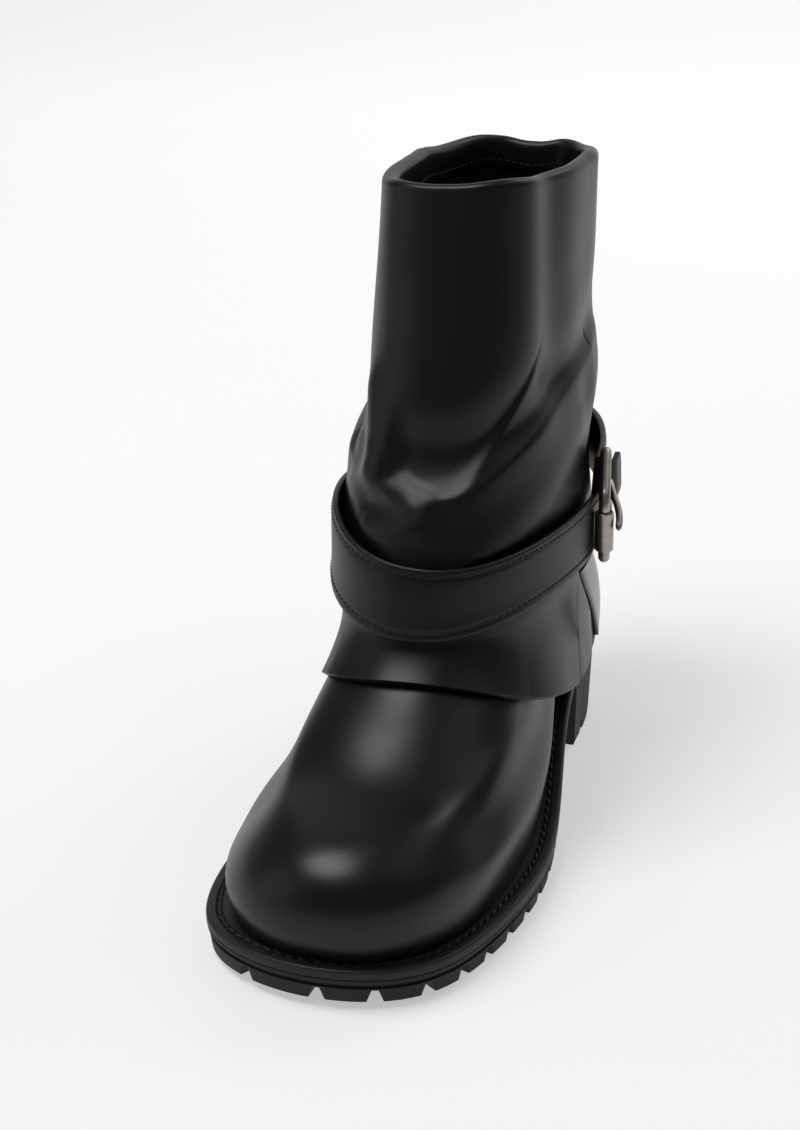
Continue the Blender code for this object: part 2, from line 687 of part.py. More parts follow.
def build_shaft(leather):
    """The shaft: a sleeve with a flared skirt, lapped side seams and a collar rolled inwards."""
    angles = even_angles()
    seams = [turn + step for turn in (SEAM_ANGLE, 2.0 * np.pi - SEAM_ANGLE)
             for step in (-SEAM_HALF_TURN, SEAM_HALF_TURN)]
    angles = np.sort(np.concatenate([angles, seams]))
    front = (angles < SEAM_ANGLE) | (angles > 2.0 * np.pi - SEAM_ANGLE)
    levels = np.concatenate([np.arange(SLEEVE_FIRST_LEVEL, LEG_LEVELS[0], ROW_STEP), LEG_LEVELS])
    level, angle = np.meshgrid(levels, angles, indexing="ij")
    ridge = folds(level, angle)
    lap = np.where(front, SEAM_STEP, 0.0)[None, :]
    outer = sleeve_at(level, angle, ridge + lap)
    inner = sleeve_at(level, angle, ridge - SHAFT_WALL)
    roll_in = -(SHAFT_WALL + GAP + UPPER_WALL + GAP)
    top = np.full(angles.shape, COLLAR_LEVEL)
    low = top - COLLAR_TUCK
    crown = []
    for share, height in COLLAR_ROLL:
        reach = lap[0] + (roll_in - SHAFT_WALL - lap[0]) * share
        point = sleeve_at(top, angles, reach)
        point[:, 2] += height
        crown.append(point)
    tuck = [sleeve_at(top, angles, np.full(angles.shape, roll_in - SHAFT_WALL)),
            sleeve_at(low, angles, np.full(angles.shape, roll_in - SHAFT_WALL)),
            sleeve_at(low, angles, np.full(angles.shape, roll_in)),
            sleeve_at(top, angles, np.full(angles.shape, roll_in))]
    grid = np.concatenate([outer, crown, tuck, inner[::-1]])
    return band("shaft", grid, leather, True)


def level_at_height(angle, height):
    """Level of the sleeve at an angle where its face reaches a height."""
    ladder_levels = np.linspace(SLEEVE_FIRST_LEVEL, COLLAR_LEVEL, 141)
    heights = sleeve(ladder_levels[:, None], angle[None, :])[..., 2]
    return np.array([np.interp(z, heights[:, k], ladder_levels) for k, z in enumerate(height)])


def build_strap(leather):
    """Strap once round the ankle, from the buckle's back bar by the heel and the front to the roller."""
    angle = np.radians(np.linspace(STRAP_FROM, STRAP_TO, STRAP_COLUMNS))
    route = spline(np.radians(STRAP_ROUTE[:, 0]), STRAP_ROUTE[:, 1:], angle)
    rows = []
    for across, out in STRAP_SECTION:
        level = level_at_height(angle, route[:, 0] + 0.5 * across * route[:, 1])
        lean = ease((across - STRAP_LEAN_FROM) / (1.0 - STRAP_LEAN_FROM))
        lift = SEAM_STEP + STRAP_CLEARANCE + STRAP_LIFT * lean
        rows.append(sleeve_at(level, angle, np.full(angle.shape, lift + out)))
    return band("strap", np.array(rows), leather, False)


def build_tail(leather):
    """Pointed end of the strap, hanging below the buckle."""
    face = np.array([(x, y, z) for y, z, x in TAIL_OUTLINE])
    back = face - np.array([TAIL_THICKNESS, 0.0, 0.0])
    return band("strap_tail", np.array([back, face]).transpose(1, 0, 2), leather, False)


def rounded_loop(corners, radius, steps):
    """Closed path through corners, each turned by a quadratic curve."""
    corners = np.array(corners)
    points = []
    for i, corner in enumerate(corners):
        before = corners[i - 1] - corner
        after = corners[(i + 1) % len(corners)] - corner
        start = corner + before / np.linalg.norm(before) * radius
        end = corner + after / np.linalg.norm(after) * radius
        for share in np.linspace(0.0, 1.0, steps):
            points.append((1 - share) ** 2 * start + 2 * share * (1 - share) * corner + share**2 * end)
    return np.array(points)


def tube(path, radii, sides, closed):
    """Round bar along a path: rows are the sides of its section and columns follow the path."""
    path = np.asarray(path, float)
    if closed:
        run = np.roll(path, -1, 0) - np.roll(path, 1, 0)
    else:
        run = np.gradient(path, axis=0)
    run /= np.linalg.norm(run, axis=1, keepdims=True)
    side = np.cross(run, np.array(TUBE_SIDE_HINT))
    side /= np.linalg.norm(side, axis=1, keepdims=True)
    other = np.cross(run, side)
    turns = np.linspace(0.0, 2.0 * np.pi, sides, endpoint=False)[:, None, None]
    return path + radii * (np.cos(turns) * side + np.sin(turns) * other)


def build_buckle(metal):
    """Buckle: its bar loop, the roller tube on the front bar, and the prong."""
    loop = rounded_loop(BAR_POINTS, BAR_CORNER, CORNER_STEPS)
    band("buckle_frame", tube(loop, BAR_RADIUS, BAR_SIDES, True), metal, True)
    low, high = np.array(BAR_POINTS[0]), np.array(BAR_POINTS[1])
    axis = (high - low) / np.linalg.norm(high - low)
    ends = np.array([low + axis * ROLLER_END, high - axis * ROLLER_END])
    outer = tube(ends, ROLLER_RADIUS, ROLLER_SIDES, False)
    inner = tube(ends, BAR_RADIUS + ROLLER_CLEARANCE, ROLLER_SIDES, False)
    grid = np.stack([outer[:, 0], outer[:, 1], inner[:, 1], inner[:, 0]])
    band("buckle_roller", grid, metal, True)
    band("buckle_prong", tube(PRONG_PATH, PRONG_RADIUS, BAR_SIDES, False), metal, False)


def main():
    """Build every piece of the boot."""
    clear_scene()
    rubber = make_material("sole_rubber", (0.012, 0.012, 0.013), 0.62, 0.0)
    welt_rubber = make_material("welt_rubber", (0.014, 0.014, 0.015), 0.50, 0.0)
    vamp_leather = make_material("vamp_leather", (0.010, 0.010, 0.011), 0.36, 0.0)
    shaft_leather = make_material("shaft_leather", (0.011, 0.011, 0.012), 0.38, 0.0)
    strap_leather = make_material("strap_leather", (0.012, 0.012, 0.013), 0.40, 0.0)
    lining = make_material("lining", (0.016, 0.016, 0.017), 0.75, 0.0)
    metal = make_material("nickel", (0.36, 0.34, 0.31), 0.34, 1.0)
    build_outsole(rubber)
    build_heel(rubber)
    build_welt(welt_rubber)
    build_insole(lining)
    build_upper(vamp_leather)
    build_shaft(shaft_leather)
    build_strap(strap_leather)
    build_tail(strap_leather)
    build_buckle(metal)


main()
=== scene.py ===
"""Looks of a left pull-on boot: dressed leather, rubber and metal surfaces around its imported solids.

The toe points along -Y, the heel along +Y, the wearer's outer side is +X and up is +Z.
Shapes are worked out in millimetres in the last's own frame and stored in metres in the boot's frame.
"""
from __future__ import annotations

import json
import logging
import math
from dataclasses import dataclass, field
from enum import Enum
from typing import Callable, Union

import bpy
import numpy as np
from mathutils import Matrix, Vector

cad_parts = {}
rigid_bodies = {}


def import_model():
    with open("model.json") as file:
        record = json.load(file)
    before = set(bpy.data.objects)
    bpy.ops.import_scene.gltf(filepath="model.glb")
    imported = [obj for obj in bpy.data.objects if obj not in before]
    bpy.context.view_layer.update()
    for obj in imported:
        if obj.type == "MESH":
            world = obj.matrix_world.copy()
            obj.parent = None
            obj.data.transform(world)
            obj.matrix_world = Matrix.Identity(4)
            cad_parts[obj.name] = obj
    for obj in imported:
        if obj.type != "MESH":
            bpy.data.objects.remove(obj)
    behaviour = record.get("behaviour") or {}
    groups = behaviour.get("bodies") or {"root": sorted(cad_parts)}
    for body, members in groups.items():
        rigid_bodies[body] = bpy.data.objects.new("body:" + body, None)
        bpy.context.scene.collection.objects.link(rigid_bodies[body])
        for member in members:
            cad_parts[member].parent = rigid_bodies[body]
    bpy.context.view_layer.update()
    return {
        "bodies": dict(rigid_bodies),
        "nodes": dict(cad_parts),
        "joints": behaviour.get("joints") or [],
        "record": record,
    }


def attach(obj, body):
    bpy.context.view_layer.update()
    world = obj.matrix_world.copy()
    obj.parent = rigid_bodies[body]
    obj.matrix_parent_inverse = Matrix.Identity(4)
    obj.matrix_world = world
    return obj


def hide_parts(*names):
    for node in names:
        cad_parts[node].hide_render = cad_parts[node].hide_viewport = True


LOG = logging.getLogger("boot")
Array = np.ndarray
Surface = Callable[[Array, Array], Array]
Colour = tuple[float, float, float]

MM = 0.001
BODY = "root"
LAST_TO_BOOT = np.array([1.77, -3.67, 0.0])
TURN = 2.0 * math.pi
DEGREES = 360.0
STEP = 0.01
# Points of a closed line that is measured
FINE = 2881
# Edges that bend more than this many degrees stay crisp
SHARP = 38.0
MOULDED_SHARP = 30.0

# Sole outline: share of the length from the toe, lateral and medial half widths
OUTLINE = np.array([
    # share, lateral, medial
    (0.000, -9.0, 9.0),
    (0.020, 16.0, 34.0),
    (0.062, 30.0, 50.0),
    (0.130, 39.5, 59.0),
    (0.215, 46.0, 62.0),
    (0.330, 50.0, 59.0),
    (0.450, 47.5, 47.0),
    (0.580, 42.0, 36.0),
    (0.720, 39.0, 34.5),
    (0.850, 38.5, 36.0),
    (0.950, 27.5, 26.5),
    (1.000, 0.5, -0.5),
])

# Sections of the foot from the feather edge to the ankle; rises are above the welt
FOOT = np.array([
    # front_y, front_rise, back_y, back_rise, wide_y, lateral, medial, heel, swing, curve, level, waist
    (-134.0, 0.5, 131.0, 0.5, -55.0, 48.0, 48.0, 31.5, -8.0, 2.35, 0.0, 7.0),
    (-137.4, 11.3, 133.0, 8.5, -55.0, 49.2, 50.8, 32.6, -7.4, 2.35, 0.1, 7.0),
    (-135.6, 22.0, 134.0, 16.5, -54.0, 50.0, 46.0, 33.6, -7.0, 2.30, 0.3, 7.0),
    (-129.5, 30.6, 134.0, 25.0, -51.0, 45.1, 39.6, 34.4, -6.2, 2.20, 0.5, 7.0),
    (-116.0, 38.1, 134.0, 34.5, -44.0, 42.0, 35.8, 35.2, -5.3, 2.05, 0.75, 6.5),
    (-94.0, 44.6, 133.0, 45.5, -30.0, 38.6, 35.4, 35.7, -4.4, 2.00, 0.95, 5.5),
    (-68.0, 57.2, 132.0, 58.0, -4.0, 35.6, 34.2, 36.2, -2.6, 2.02, 1.0, 3.0),
    (-45.0, 68.0, 132.0, 70.0, 20.0, 34.6, 32.8, 36.2, -1.2, 2.06, 1.0, 0.5),
    (-35.5, 81.0, 132.0, 84.0, 42.0, 35.2, 35.2, 36.2, -1.0, 2.15, 1.0, 0.0),
])

# Sections of the sleeve from the skirt's hem to the collar; heights are above the floor
SLEEVE = np.array([
    # front_y, front_z, back_y, back_z, wide_y, lateral, medial, centre, curve, drop
    (-55.4, 81.4, 146.0, 41.4, -4.5, 53.4, 38.7, -5.2, 2.18, 2.68),
    (-45.3, 88.9, 143.0, 71.2, 30.0, 41.6, 38.0, -1.9, 2.46, 1.43),
    (-43.3, 95.3, 140.0, 96.0, 39.5, 43.4, 42.6, -1.1, 2.22, 1.0),
    (-38.0, 113.0, 138.0, 122.0, 44.0, 41.5, 42.0, -1.0, 2.20, 1.0),
    (-28.0, 140.0, 136.5, 150.0, 52.0, 40.0, 40.5, 0.0, 2.3, 1.0),
    (-16.0, 173.0, 138.0, 180.0, 60.0, 36.8, 36.8, 1.2, 2.5, 1.0),
    (-5.0, 207.0, 141.0, 209.0, 67.0, 35.6, 35.6, 1.7, 2.7, 1.0),
    (3.0, 243.0, 143.0, 236.5, 73.0, 35.2, 35.2, 1.9, 2.8, 1.0),
])
HEM_LEVEL = 5.0
COLLAR_LEVEL = HEM_LEVEL + len(SLEEVE) - 1

# Strap round the ankle: turn round the boot from the front, height of its middle, and its width
STRAP_ROUTE = np.array([
    # degrees, middle_z, width
    (-260.0, 118.0, 22.0),
    (-215.0, 118.0, 25.0),
    (-180.0, 114.0, 28.0),
    (-120.0, 106.0, 30.0),
    (-60.0, 112.3, 29.0),
    (0.0, 104.5, 25.2),
    (60.0, 108.1, 22.4),
    (110.0, 103.5, 22.0),
])


class Slot(Enum):
    """Material slots of the record."""

    SOLE = "sole_rubber"
    WELT = "welt_rubber"
    LINING = "lining"
    VAMP = "vamp_leather"
    SHAFT = "shaft_leather"
    STRAP = "strap_leather"
    METAL = "nickel"


class Side(Enum):
    """Sides of the sole's outline."""

    LATERAL = 0
    MEDIAL = 1


def ease(share: Array) -> Array:
    """Smooth step from 0 to 1: 3 s squared minus 2 s cubed, held at its ends."""
    share = np.clip(share, 0.0, 1.0)
    return share * share * (3.0 - 2.0 * share)


def power(value: Array, exponent: Array) -> Array:
    """Signed power, the rounding of a superellipse."""
    return np.sign(value) * np.abs(value) ** exponent


def unit(vectors: Array) -> Array:
    """Vectors divided by their lengths."""
    return vectors / np.linalg.norm(vectors, axis=-1, keepdims=True)


def bell(distance: Array, width: Array | float) -> Array:
    """Bell curve of height 1: e to the minus square of distance over width."""
    return np.exp(-((distance / width) ** 2))


def hinge(share: Array, softness: float = 0.02) -> Array:
    """Nothing below zero and a straight rise above it, with a rounded corner."""
    return 0.5 * (share + np.sqrt(share**2 + softness))


def spline(knots: Array, values: Array, at: Array) -> Array:
    """Natural cubic curve through a row of values for each knot.

    Args:
        knots: Places of the rows, rising.
        values: One row of values for each knot.
        at: Places to read the curve at.

    Returns:
        Values with the shape of at and one more axis for the columns.
    """
    knots, values, at = (np.asarray(item, float) for item in (knots, values, at))
    count = len(knots)
    step = np.diff(knots)
    system = np.eye(count)
    right = np.zeros_like(values)
    inner = np.arange(1, count - 1)
    system[inner, inner - 1] = step[:-1]
    system[inner, inner] = 2.0 * (step[:-1] + step[1:])
    system[inner, inner + 1] = step[1:]
    slope = np.diff(values, axis=0) / step[:, None]
    right[1:-1] = 6.0 * np.diff(slope, axis=0)
    bend = np.linalg.solve(system, right)
    i = np.clip(np.searchsorted(knots, at, side="right") - 1, 0, count - 2)
    width = step[i][..., None]
    low = (knots[i + 1] - at)[..., None] / width
    high = (at - knots[i])[..., None] / width
    curve = ((low**3 - low) * bend[i] + (high**3 - high) * bend[i + 1]) * width**2 / 6.0
    return low * values[i] + high * values[i + 1] + curve


def lengths(path: Array) -> Array:
    """Length of a line of points from its start to each point."""
    return np.concatenate([[0.0], np.cumsum(np.linalg.norm(np.diff(path, axis=0), axis=1))])


def spaced(places: Array, length: Array, count: int) -> Array:
    """Places that divide a measured line into equal lengths, without its end."""
    return np.interp(np.linspace(0.0, length[-1], count, endpoint=False), length, places)


def wrapped(angle: Array, whole: float) -> Array:
    """Angles brought within half a turn of zero, for a whole turn in their own unit."""
    return np.mod(angle + 0.5 * whole, whole) - 0.5 * whole


def placed(points: Array) -> Array:
    """Points of the last's frame, in millimetres, as a list in the boot's frame in metres."""
    return (points.reshape(-1, 3) + LAST_TO_BOOT) * MM


def ripple(points: Array, size: float) -> Array:
    """Gentle unevenness between -1 and 1: a mean of four sine waves in unlike directions.

    Args:
        points: Places in millimetres.
        size: Length of the longest wave in millimetres.

    Returns:
        A height for each place.
    """
    waves = np.array([(1.0, 0.3, 0.2), (-0.4, 1.1, 0.7), (0.5, -0.8, 1.3), (1.4, 0.9, -0.9)])
    phase = np.array([0.3, 1.9, 4.1, 2.7])
    return np.sin(points @ waves.T * TURN / size + phase).mean(-1)


Operand = Union["Value", float]


class Value:
    """A shader socket that takes part in Python arithmetic; each operator adds one Math node."""

    def __init__(self, graph: Graph, socket: bpy.types.NodeSocket) -> None:
        """Keep the graph and the socket."""
        self.graph = graph
        self.socket = socket

    def join(self, operation: str, first: Operand, second: Operand) -> Value:
        """Add a Math node.

        Args:
            operation: The node's operation.
            first: Its first value.
            second: Its second value.

        Returns:
            The node's result.
        """
        node = self.graph.node("ShaderNodeMath", {"operation": operation}, {0: first, 1: second})
        return Value(self.graph, node.outputs[0])

    def __add__(self, other: Operand) -> Value:
        """Sum."""
        return self.join("ADD", self, other)

    def __radd__(self, other: Operand) -> Value:
        """Sum with a number on the left."""
        return self.join("ADD", other, self)

    def __sub__(self, other: Operand) -> Value:
        """Difference."""
        return self.join("SUBTRACT", self, other)

    def __rsub__(self, other: Operand) -> Value:
        """Difference from a number on the left."""
        return self.join("SUBTRACT", other, self)

    def __mul__(self, other: Operand) -> Value:
        """Product."""
        return self.join("MULTIPLY", self, other)

    def __rmul__(self, other: Operand) -> Value:
        """Product with a number on the left."""
        return self.join("MULTIPLY", other, self)


class Graph:
    """Node tree of one material, with its Principled shader."""

    def __init__(self, material: bpy.types.Material) -> None:
        """Keep the tree and find its shader.

        Args:
            material: The material whose nodes these are.
        """
        material.use_nodes = True
        self.tree = material.node_tree
        self.shader = self.tree.nodes["Principled BSDF"]

    def fill(self, node: bpy.types.Node, sockets: dict) -> None:
        """Give a node's inputs their values or links.

        Args:
            node: The node.
            sockets: Input name or number to a value, a Value or a socket.
        """
        for key, value in sockets.items():
            source = value.socket if isinstance(value, Value) else value
            if isinstance(source, bpy.types.NodeSocket):
                self.tree.links.new(source, node.inputs[key])
            else:
                node.inputs[key].default_value = source

    def node(self, kind: str, settings: dict, sockets: dict) -> bpy.types.Node:
        """Add a node.

        Args:
            kind: The node's type.
            settings: Its properties, which are set first; stops holds a ramp's places and greys.
            sockets: Input name or number to a value or a link.

        Returns:
            The new node.
        """
        made = self.tree.nodes.new(kind)
        for key, value in settings.items():
            if key == "stops":
                for element, (place, grey) in zip(made.color_ramp.elements, value):
                    element.position = place
                    element.color = (grey, grey, grey, 1.0)
            else:
                setattr(made, key, value)
        self.fill(made, sockets)
        return made

    def place(self) -> bpy.types.NodeSocket:
        """Object coordinates, in metres."""
        return self.node("ShaderNodeTexCoord", {}, {}).outputs["Object"]

    def stretched(self, scale: tuple[float, float, float]) -> bpy.types.NodeSocket:
        """Object coordinates scaled along each axis."""
        return self.node("ShaderNodeMapping", {}, {"Vector": self.place(), "Scale": scale}).outputs[0]

    def noise(self, place: bpy.types.NodeSocket, size: float, detail: float) -> Value:
        """Noise between 0 and 1.

        Args:
            place: Coordinates in metres.
            size: Size of its patches in millimetres.
            detail: Number of finer layers.

        Returns:
            The noise.
        """
        sockets = {"Vector": place, "Scale": 1.0 / (size * MM), "Detail": detail}
        return Value(self, self.node("ShaderNodeTexNoise", {}, sockets).outputs[0])

    def cells(self, place: bpy.types.NodeSocket, size: float) -> Value:
        """Distance from the middle of round grain cells.

        Args:
            place: Coordinates in metres.
            size: Size of a cell in millimetres.

        Returns:
            The distance, 0 in each middle.
        """
        node = self.node("ShaderNodeTexVoronoi", {}, {"Vector": place, "Scale": 1.0 / (size * MM)})
        return Value(self, node.outputs["Distance"])

    def ramp(self, value: Value, low: float, high: float) -> Value:
        """Value spread so that low becomes 0 and high becomes 1."""
        settings = {"stops": ((low, 0.0), (high, 1.0))}
        return Value(self, self.node("ShaderNodeValToRGB", settings, {"Fac": value}).outputs[0])

    def blend(self, share: Value, first: Colour, second: Colour) -> bpy.types.NodeSocket:
        """Mix of two colours."""
        sockets = {0: share, 6: (*first, 1.0), 7: (*second, 1.0)}
        return self.node("ShaderNodeMix", {"data_type": "RGBA"}, sockets).outputs[2]

    def bump(self, height: Value, depth: float, strength: float) -> bpy.types.NodeSocket:
        """Normal bent by a height of the given depth in millimetres."""
        sockets = {"Height": height, "Distance": depth * MM, "Strength": strength}
        return self.node("ShaderNodeBump", {}, sockets).outputs[0]


@dataclass(frozen=True)
class Finish:
    """A surface finish: one Principled material with its own detail."""

    name: str

    def material(self) -> bpy.types.Material:
        """Material of this finish, made once.

        Returns:
            The material.
        """
        found = bpy.data.materials.get(self.name)
        if found is None:
            found = bpy.data.materials.new(self.name)
            self.dress(Graph(found))
        return found

    def dress(self, graph: Graph) -> None:
        """Add the finish's nodes to a graph."""
        raise NotImplementedError


@dataclass(frozen=True)
class Leather(Finish):
    """Smooth black leather: cloudy gloss, fine pores and a thin dressing on top."""

    dark: Colour
    light: Colour
    roughness: float
    grain: float = 0.75
    grain_depth: float = 0.035
    coat: float = 0.06
    coat_roughness: float = 0.24
    specular: float = 0.42

    def dress(self, graph: Graph) -> None:
        """Cloudy colour and gloss, with pores and fine wrinkles as bump.

        Args:
            graph: Node tree of the material.
        """
        place = graph.place()
        cloud = graph.noise(place, 42.0, 3.0)
        fine = graph.noise(place, 0.32, 2.0)
        pores = graph.cells(place, self.grain)
        wrinkle = graph.noise(place, 4.5, 4.0)
        rough = self.roughness + (cloud - 0.5) * 0.10 + (fine - 0.5) * 0.07
        height = pores * 0.55 + fine * 0.30 + wrinkle * 0.45
        graph.fill(graph.shader, {
            "Base Color": graph.blend(cloud, self.dark, self.light),
            "Roughness": rough,
            "Coat Weight": self.coat,
            "Coat Roughness": self.coat_roughness,
            "Specular IOR Level": self.specular,
            "Normal": graph.bump(height, self.grain_depth, 0.55),
        })


@dataclass(frozen=True)
class Rubber(Finish):
    """Matte moulded rubber with a sandy skin and a little dust."""

    dark: Colour
    light: Colour
    roughness: float
    skin: float = 0.55
    skin_depth: float = 0.05

    def dress(self, graph: Graph) -> None:
        """Sandy bump, and dust where a broad noise is high.

        Args:
            graph: Node tree of the material.
        """
        place = graph.place()
        sand = graph.noise(place, self.skin, 3.0)
        dust = graph.ramp(graph.noise(place, 16.0, 5.0), 0.42, 0.75)
        graph.fill(graph.shader, {
            "Base Color": graph.blend(dust, self.dark, self.light),
            "Roughness": self.roughness + dust * 0.12 + (sand - 0.5) * 0.08,
            "Specular IOR Level": 0.42,
            "Normal": graph.bump(sand, self.skin_depth, 0.5),
        })


@dataclass(frozen=True)
class Nickel(Finish):
    """Brushed antique nickel: scratches along the bars and a darker patina in patches."""

    dark: Colour
    light: Colour
    roughness: float
    brush: tuple[float, float, float] = (1.0, 1.0, 0.08)

    def dress(self, graph: Graph) -> None:
        """Long thin scratches as bump and gloss, patina as colour.

        Args:
            graph: Node tree of the material.
        """
        scratch = graph.noise(graph.stretched(self.brush), 0.22, 3.0)
        patina = graph.noise(graph.place(), 5.0, 4.0)
        graph.fill(graph.shader, {
            "Base Color": graph.blend(patina, self.dark, self.light),
            "Metallic": 1.0,
            "Roughness": self.roughness + (scratch - 0.5) * 0.22 + (0.5 - patina) * 0.12,
            "Normal": graph.bump(scratch, 0.02, 0.4),
        })


@dataclass(frozen=True)
class Thread(Finish):
    """Waxed black sewing thread with twisted plies."""

    colour: Colour
    light: Colour
    roughness: float = 0.55

    def dress(self, graph: Graph) -> None:
        """Fine plies as bump over a nearly even colour.

        Args:
            graph: Node tree of the material.
        """
        ply = graph.noise(graph.place(), 0.25, 2.0)
        graph.fill(graph.shader, {
            "Base Color": graph.blend(ply, self.colour, self.light),
            "Roughness": self.roughness + (ply - 0.5) * 0.2,
            "Normal": graph.bump(ply, 0.08, 0.6),
        })


@dataclass(frozen=True)
class Paper(Finish):
    """Pale seamless studio floor, lit softly from below like a light table."""

    colour: Colour
    glow: float = 0.50

    def dress(self, graph: Graph) -> None:
        """Even matte white with a trace of mottling.

        Args:
            graph: Node tree of the material.
        """
        mottle = graph.noise(graph.place(), 180.0, 2.0)
        shade = tuple(0.985 * part for part in self.colour)
        graph.fill(graph.shader, {
            "Base Color": graph.blend(mottle, self.colour, shade),
            "Roughness": 0.9 + (mottle - 0.5) * 0.1,
            "Specular IOR Level": 0.1,
            "Emission Color": (0.98, 0.985, 1.0, 1.0),
            "Emission Strength": self.glow,
        })


VAMP_LEATHER = Leather("smooth_vamp_leather", (0.0030, 0.0030, 0.0035), (0.0044, 0.0044, 0.0050), 0.35)
SHAFT_LEATHER = Leather("soft_shaft_leather", (0.0030, 0.0030, 0.0035), (0.0044, 0.0044, 0.0050), 0.40,
                        specular=0.39)
STRAP_LEATHER = Leather("strap_bridle_leather", (0.0036, 0.0036, 0.0041), (0.0052, 0.0052, 0.0058), 0.42)
TAIL_LEATHER = Leather("glazed_tail_leather", (0.0040, 0.0040, 0.0045), (0.0056, 0.0056, 0.0062), 0.26,
                       coat=0.7, coat_roughness=0.14, specular=0.5)
LINING_LEATHER = Leather("matte_lining", (0.0050, 0.0050, 0.0056), (0.0080, 0.0080, 0.0086), 0.66, coat=0.0)
SOLE_RUBBER = Rubber("moulded_sole_rubber", (0.0115, 0.0115, 0.0123), (0.018, 0.018, 0.0188), 0.56)
WELT_RUBBER = Rubber("dressed_welt", (0.016, 0.016, 0.0170), (0.024, 0.024, 0.0250), 0.46, skin=0.4)
BUCKLE_NICKEL = Nickel("antique_nickel", (0.30, 0.275, 0.245), (0.50, 0.465, 0.42), 0.34)
BLACK_THREAD = Thread("waxed_black_thread", (0.006, 0.006, 0.0066), (0.013, 0.013, 0.014))
STUDIO_PAPER = Paper("seamless_paper", (0.54, 0.54, 0.54))


def quad_faces(rows: int, columns: int, close_rows: bool, close_columns: bool) -> Array:
    """Quads between neighbouring points of a grid.

    Args:
        rows: Number of rows.
        columns: Number of points in a row.
        close_rows: Whether the last row joins the first.
        close_columns: Whether each row is a ring.

    Returns:
        Four point numbers for each quad.
    """
    i = np.arange(rows if close_rows else rows - 1)[:, None]
    j = np.arange(columns if close_columns else columns - 1)[None, :]
    k = (i + 1) % rows
    m = (j + 1) % columns
    corners = (i * columns + j, i * columns + m, k * columns + m, k * columns + j)
    return np.stack(np.broadcast_arrays(*corners), -1).reshape(-1, 4)


def ladder_caps(rows: int, columns: int) -> Array:
    """Quads that close the first and last ring of a ladder.

    Each ring runs along one side and back along the other, so point i faces point columns - 1 - i.

    Args:
        rows: Number of rings.
        columns: Number of points in a ring.

    Returns:
        Four point numbers for each quad.
    """
    i = np.arange(columns // 2 - 1)
    low = np.stack([i + 1, i, columns - 1 - i, columns - 2 - i], -1)
    return np.concatenate([low, low[:, ::-1] + (rows - 1) * columns])


def enclosed(points: Array, quads: Array) -> float:
    """Signed volume inside quads: the sum of the corner products of their triangles over six."""
    a, b, c, d = (points[quads[:, k]] for k in range(4))
    return float((a * (np.cross(b, c) + np.cross(c, d))).sum() / 6.0)


@dataclass
class Patch:
    """A grid of points that becomes one closed piece."""

    grid: Array
    close_rows: bool = True
    close_columns: bool = True
    ladder: bool = False
    lining_rows: slice | None = None

    def faces(self) -> Array:
        """Quads of the grid, with its ladder caps, turned outwards.

        Returns:
            Four point numbers for each quad.
        """
        rows, columns, _ = self.grid.shape
        quads = quad_faces(rows, columns, self.close_rows, self.close_columns)
        if self.ladder:
            quads = np.concatenate([quads, ladder_caps(rows, columns)])
        if enclosed(self.grid.reshape(-1, 3), quads) < 0.0:
            quads = quads[:, ::-1]
        return quads

    def ends(self) -> list[list[int]]:
        """Polygons over the two open ends of a bar, facing outwards.

        Returns:
            Point numbers of each polygon; none where the rows are rings.
        """
        rows, columns, _ = self.grid.shape
        if self.close_columns or not self.close_rows:
            return []
        first = np.arange(rows) * columns
        last = first + columns - 1
        turned = enclosed(self.grid.reshape(-1, 3), quad_faces(rows, columns, True, False)) < 0.0
        pair = (last, first[::-1]) if turned else (first, last[::-1])
        return [pair[0][::-1].tolist(), pair[1][::-1].tolist()]


def make_piece(name: str, patch: Patch, finish: Finish, nodes: tuple[str, ...] = (),
               lining: Finish | None = None, sharp: float = SHARP) -> bpy.types.Object:
    """Mesh piece from a patch, riding on the boot.

    Args:
        name: The piece's name.
        patch: Its grid, in the last's frame and millimetres.
        finish: Its outer finish.
        nodes: Solids that it stands for.
        lining: Finish of the patch's lining rows.
        sharp: Edges that bend more than this many degrees stay crisp.

    Returns:
        The new object.
    """
    faces = patch.faces().tolist() + patch.ends()
    return put_mesh(name, placed(patch.grid), faces, finish, nodes, patch, lining, sharp)


def put_mesh(name: str, points: Array, faces: list[list[int]], finish: Finish,
             nodes: tuple[str, ...] = (), patch: Patch | None = None, lining: Finish | None = None,
             sharp: float = SHARP) -> bpy.types.Object:
    """Object from points in metres and faces, dressed and riding on the boot.

    Args:
        name: The piece's name.
        points: Its points in the boot's frame.
        faces: Point numbers of its faces.
        finish: Its finish.
        nodes: Solids that it stands for.
        patch: The grid it came from, where some rows are lining.
        lining: Finish of those rows.
        sharp: Edges that bend more than this many degrees stay crisp.

    Returns:
        The new object.
    """
    mesh = bpy.data.meshes.new(name)
    mesh.from_pydata(points.tolist(), [], faces)
    mesh.materials.append(finish.material())
    if lining is not None and patch is not None and patch.lining_rows is not None:
        mesh.materials.append(lining.material())
        rows, columns, _ = patch.grid.shape
        chosen = np.zeros((rows, columns), np.int32)
        chosen[patch.lining_rows] = 1
        mesh.polygons.foreach_set("material_index", chosen.ravel())
    mesh.shade_smooth()
    mesh.set_sharp_from_angle(angle=math.radians(sharp))
    mesh.validate()
    item = bpy.data.objects.new(name, mesh)
    bpy.context.scene.collection.objects.link(item)
    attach(item, BODY)
    if nodes:
        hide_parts(*nodes)
    LOG.info("%s: %d faces", name, len(mesh.polygons))
    return item


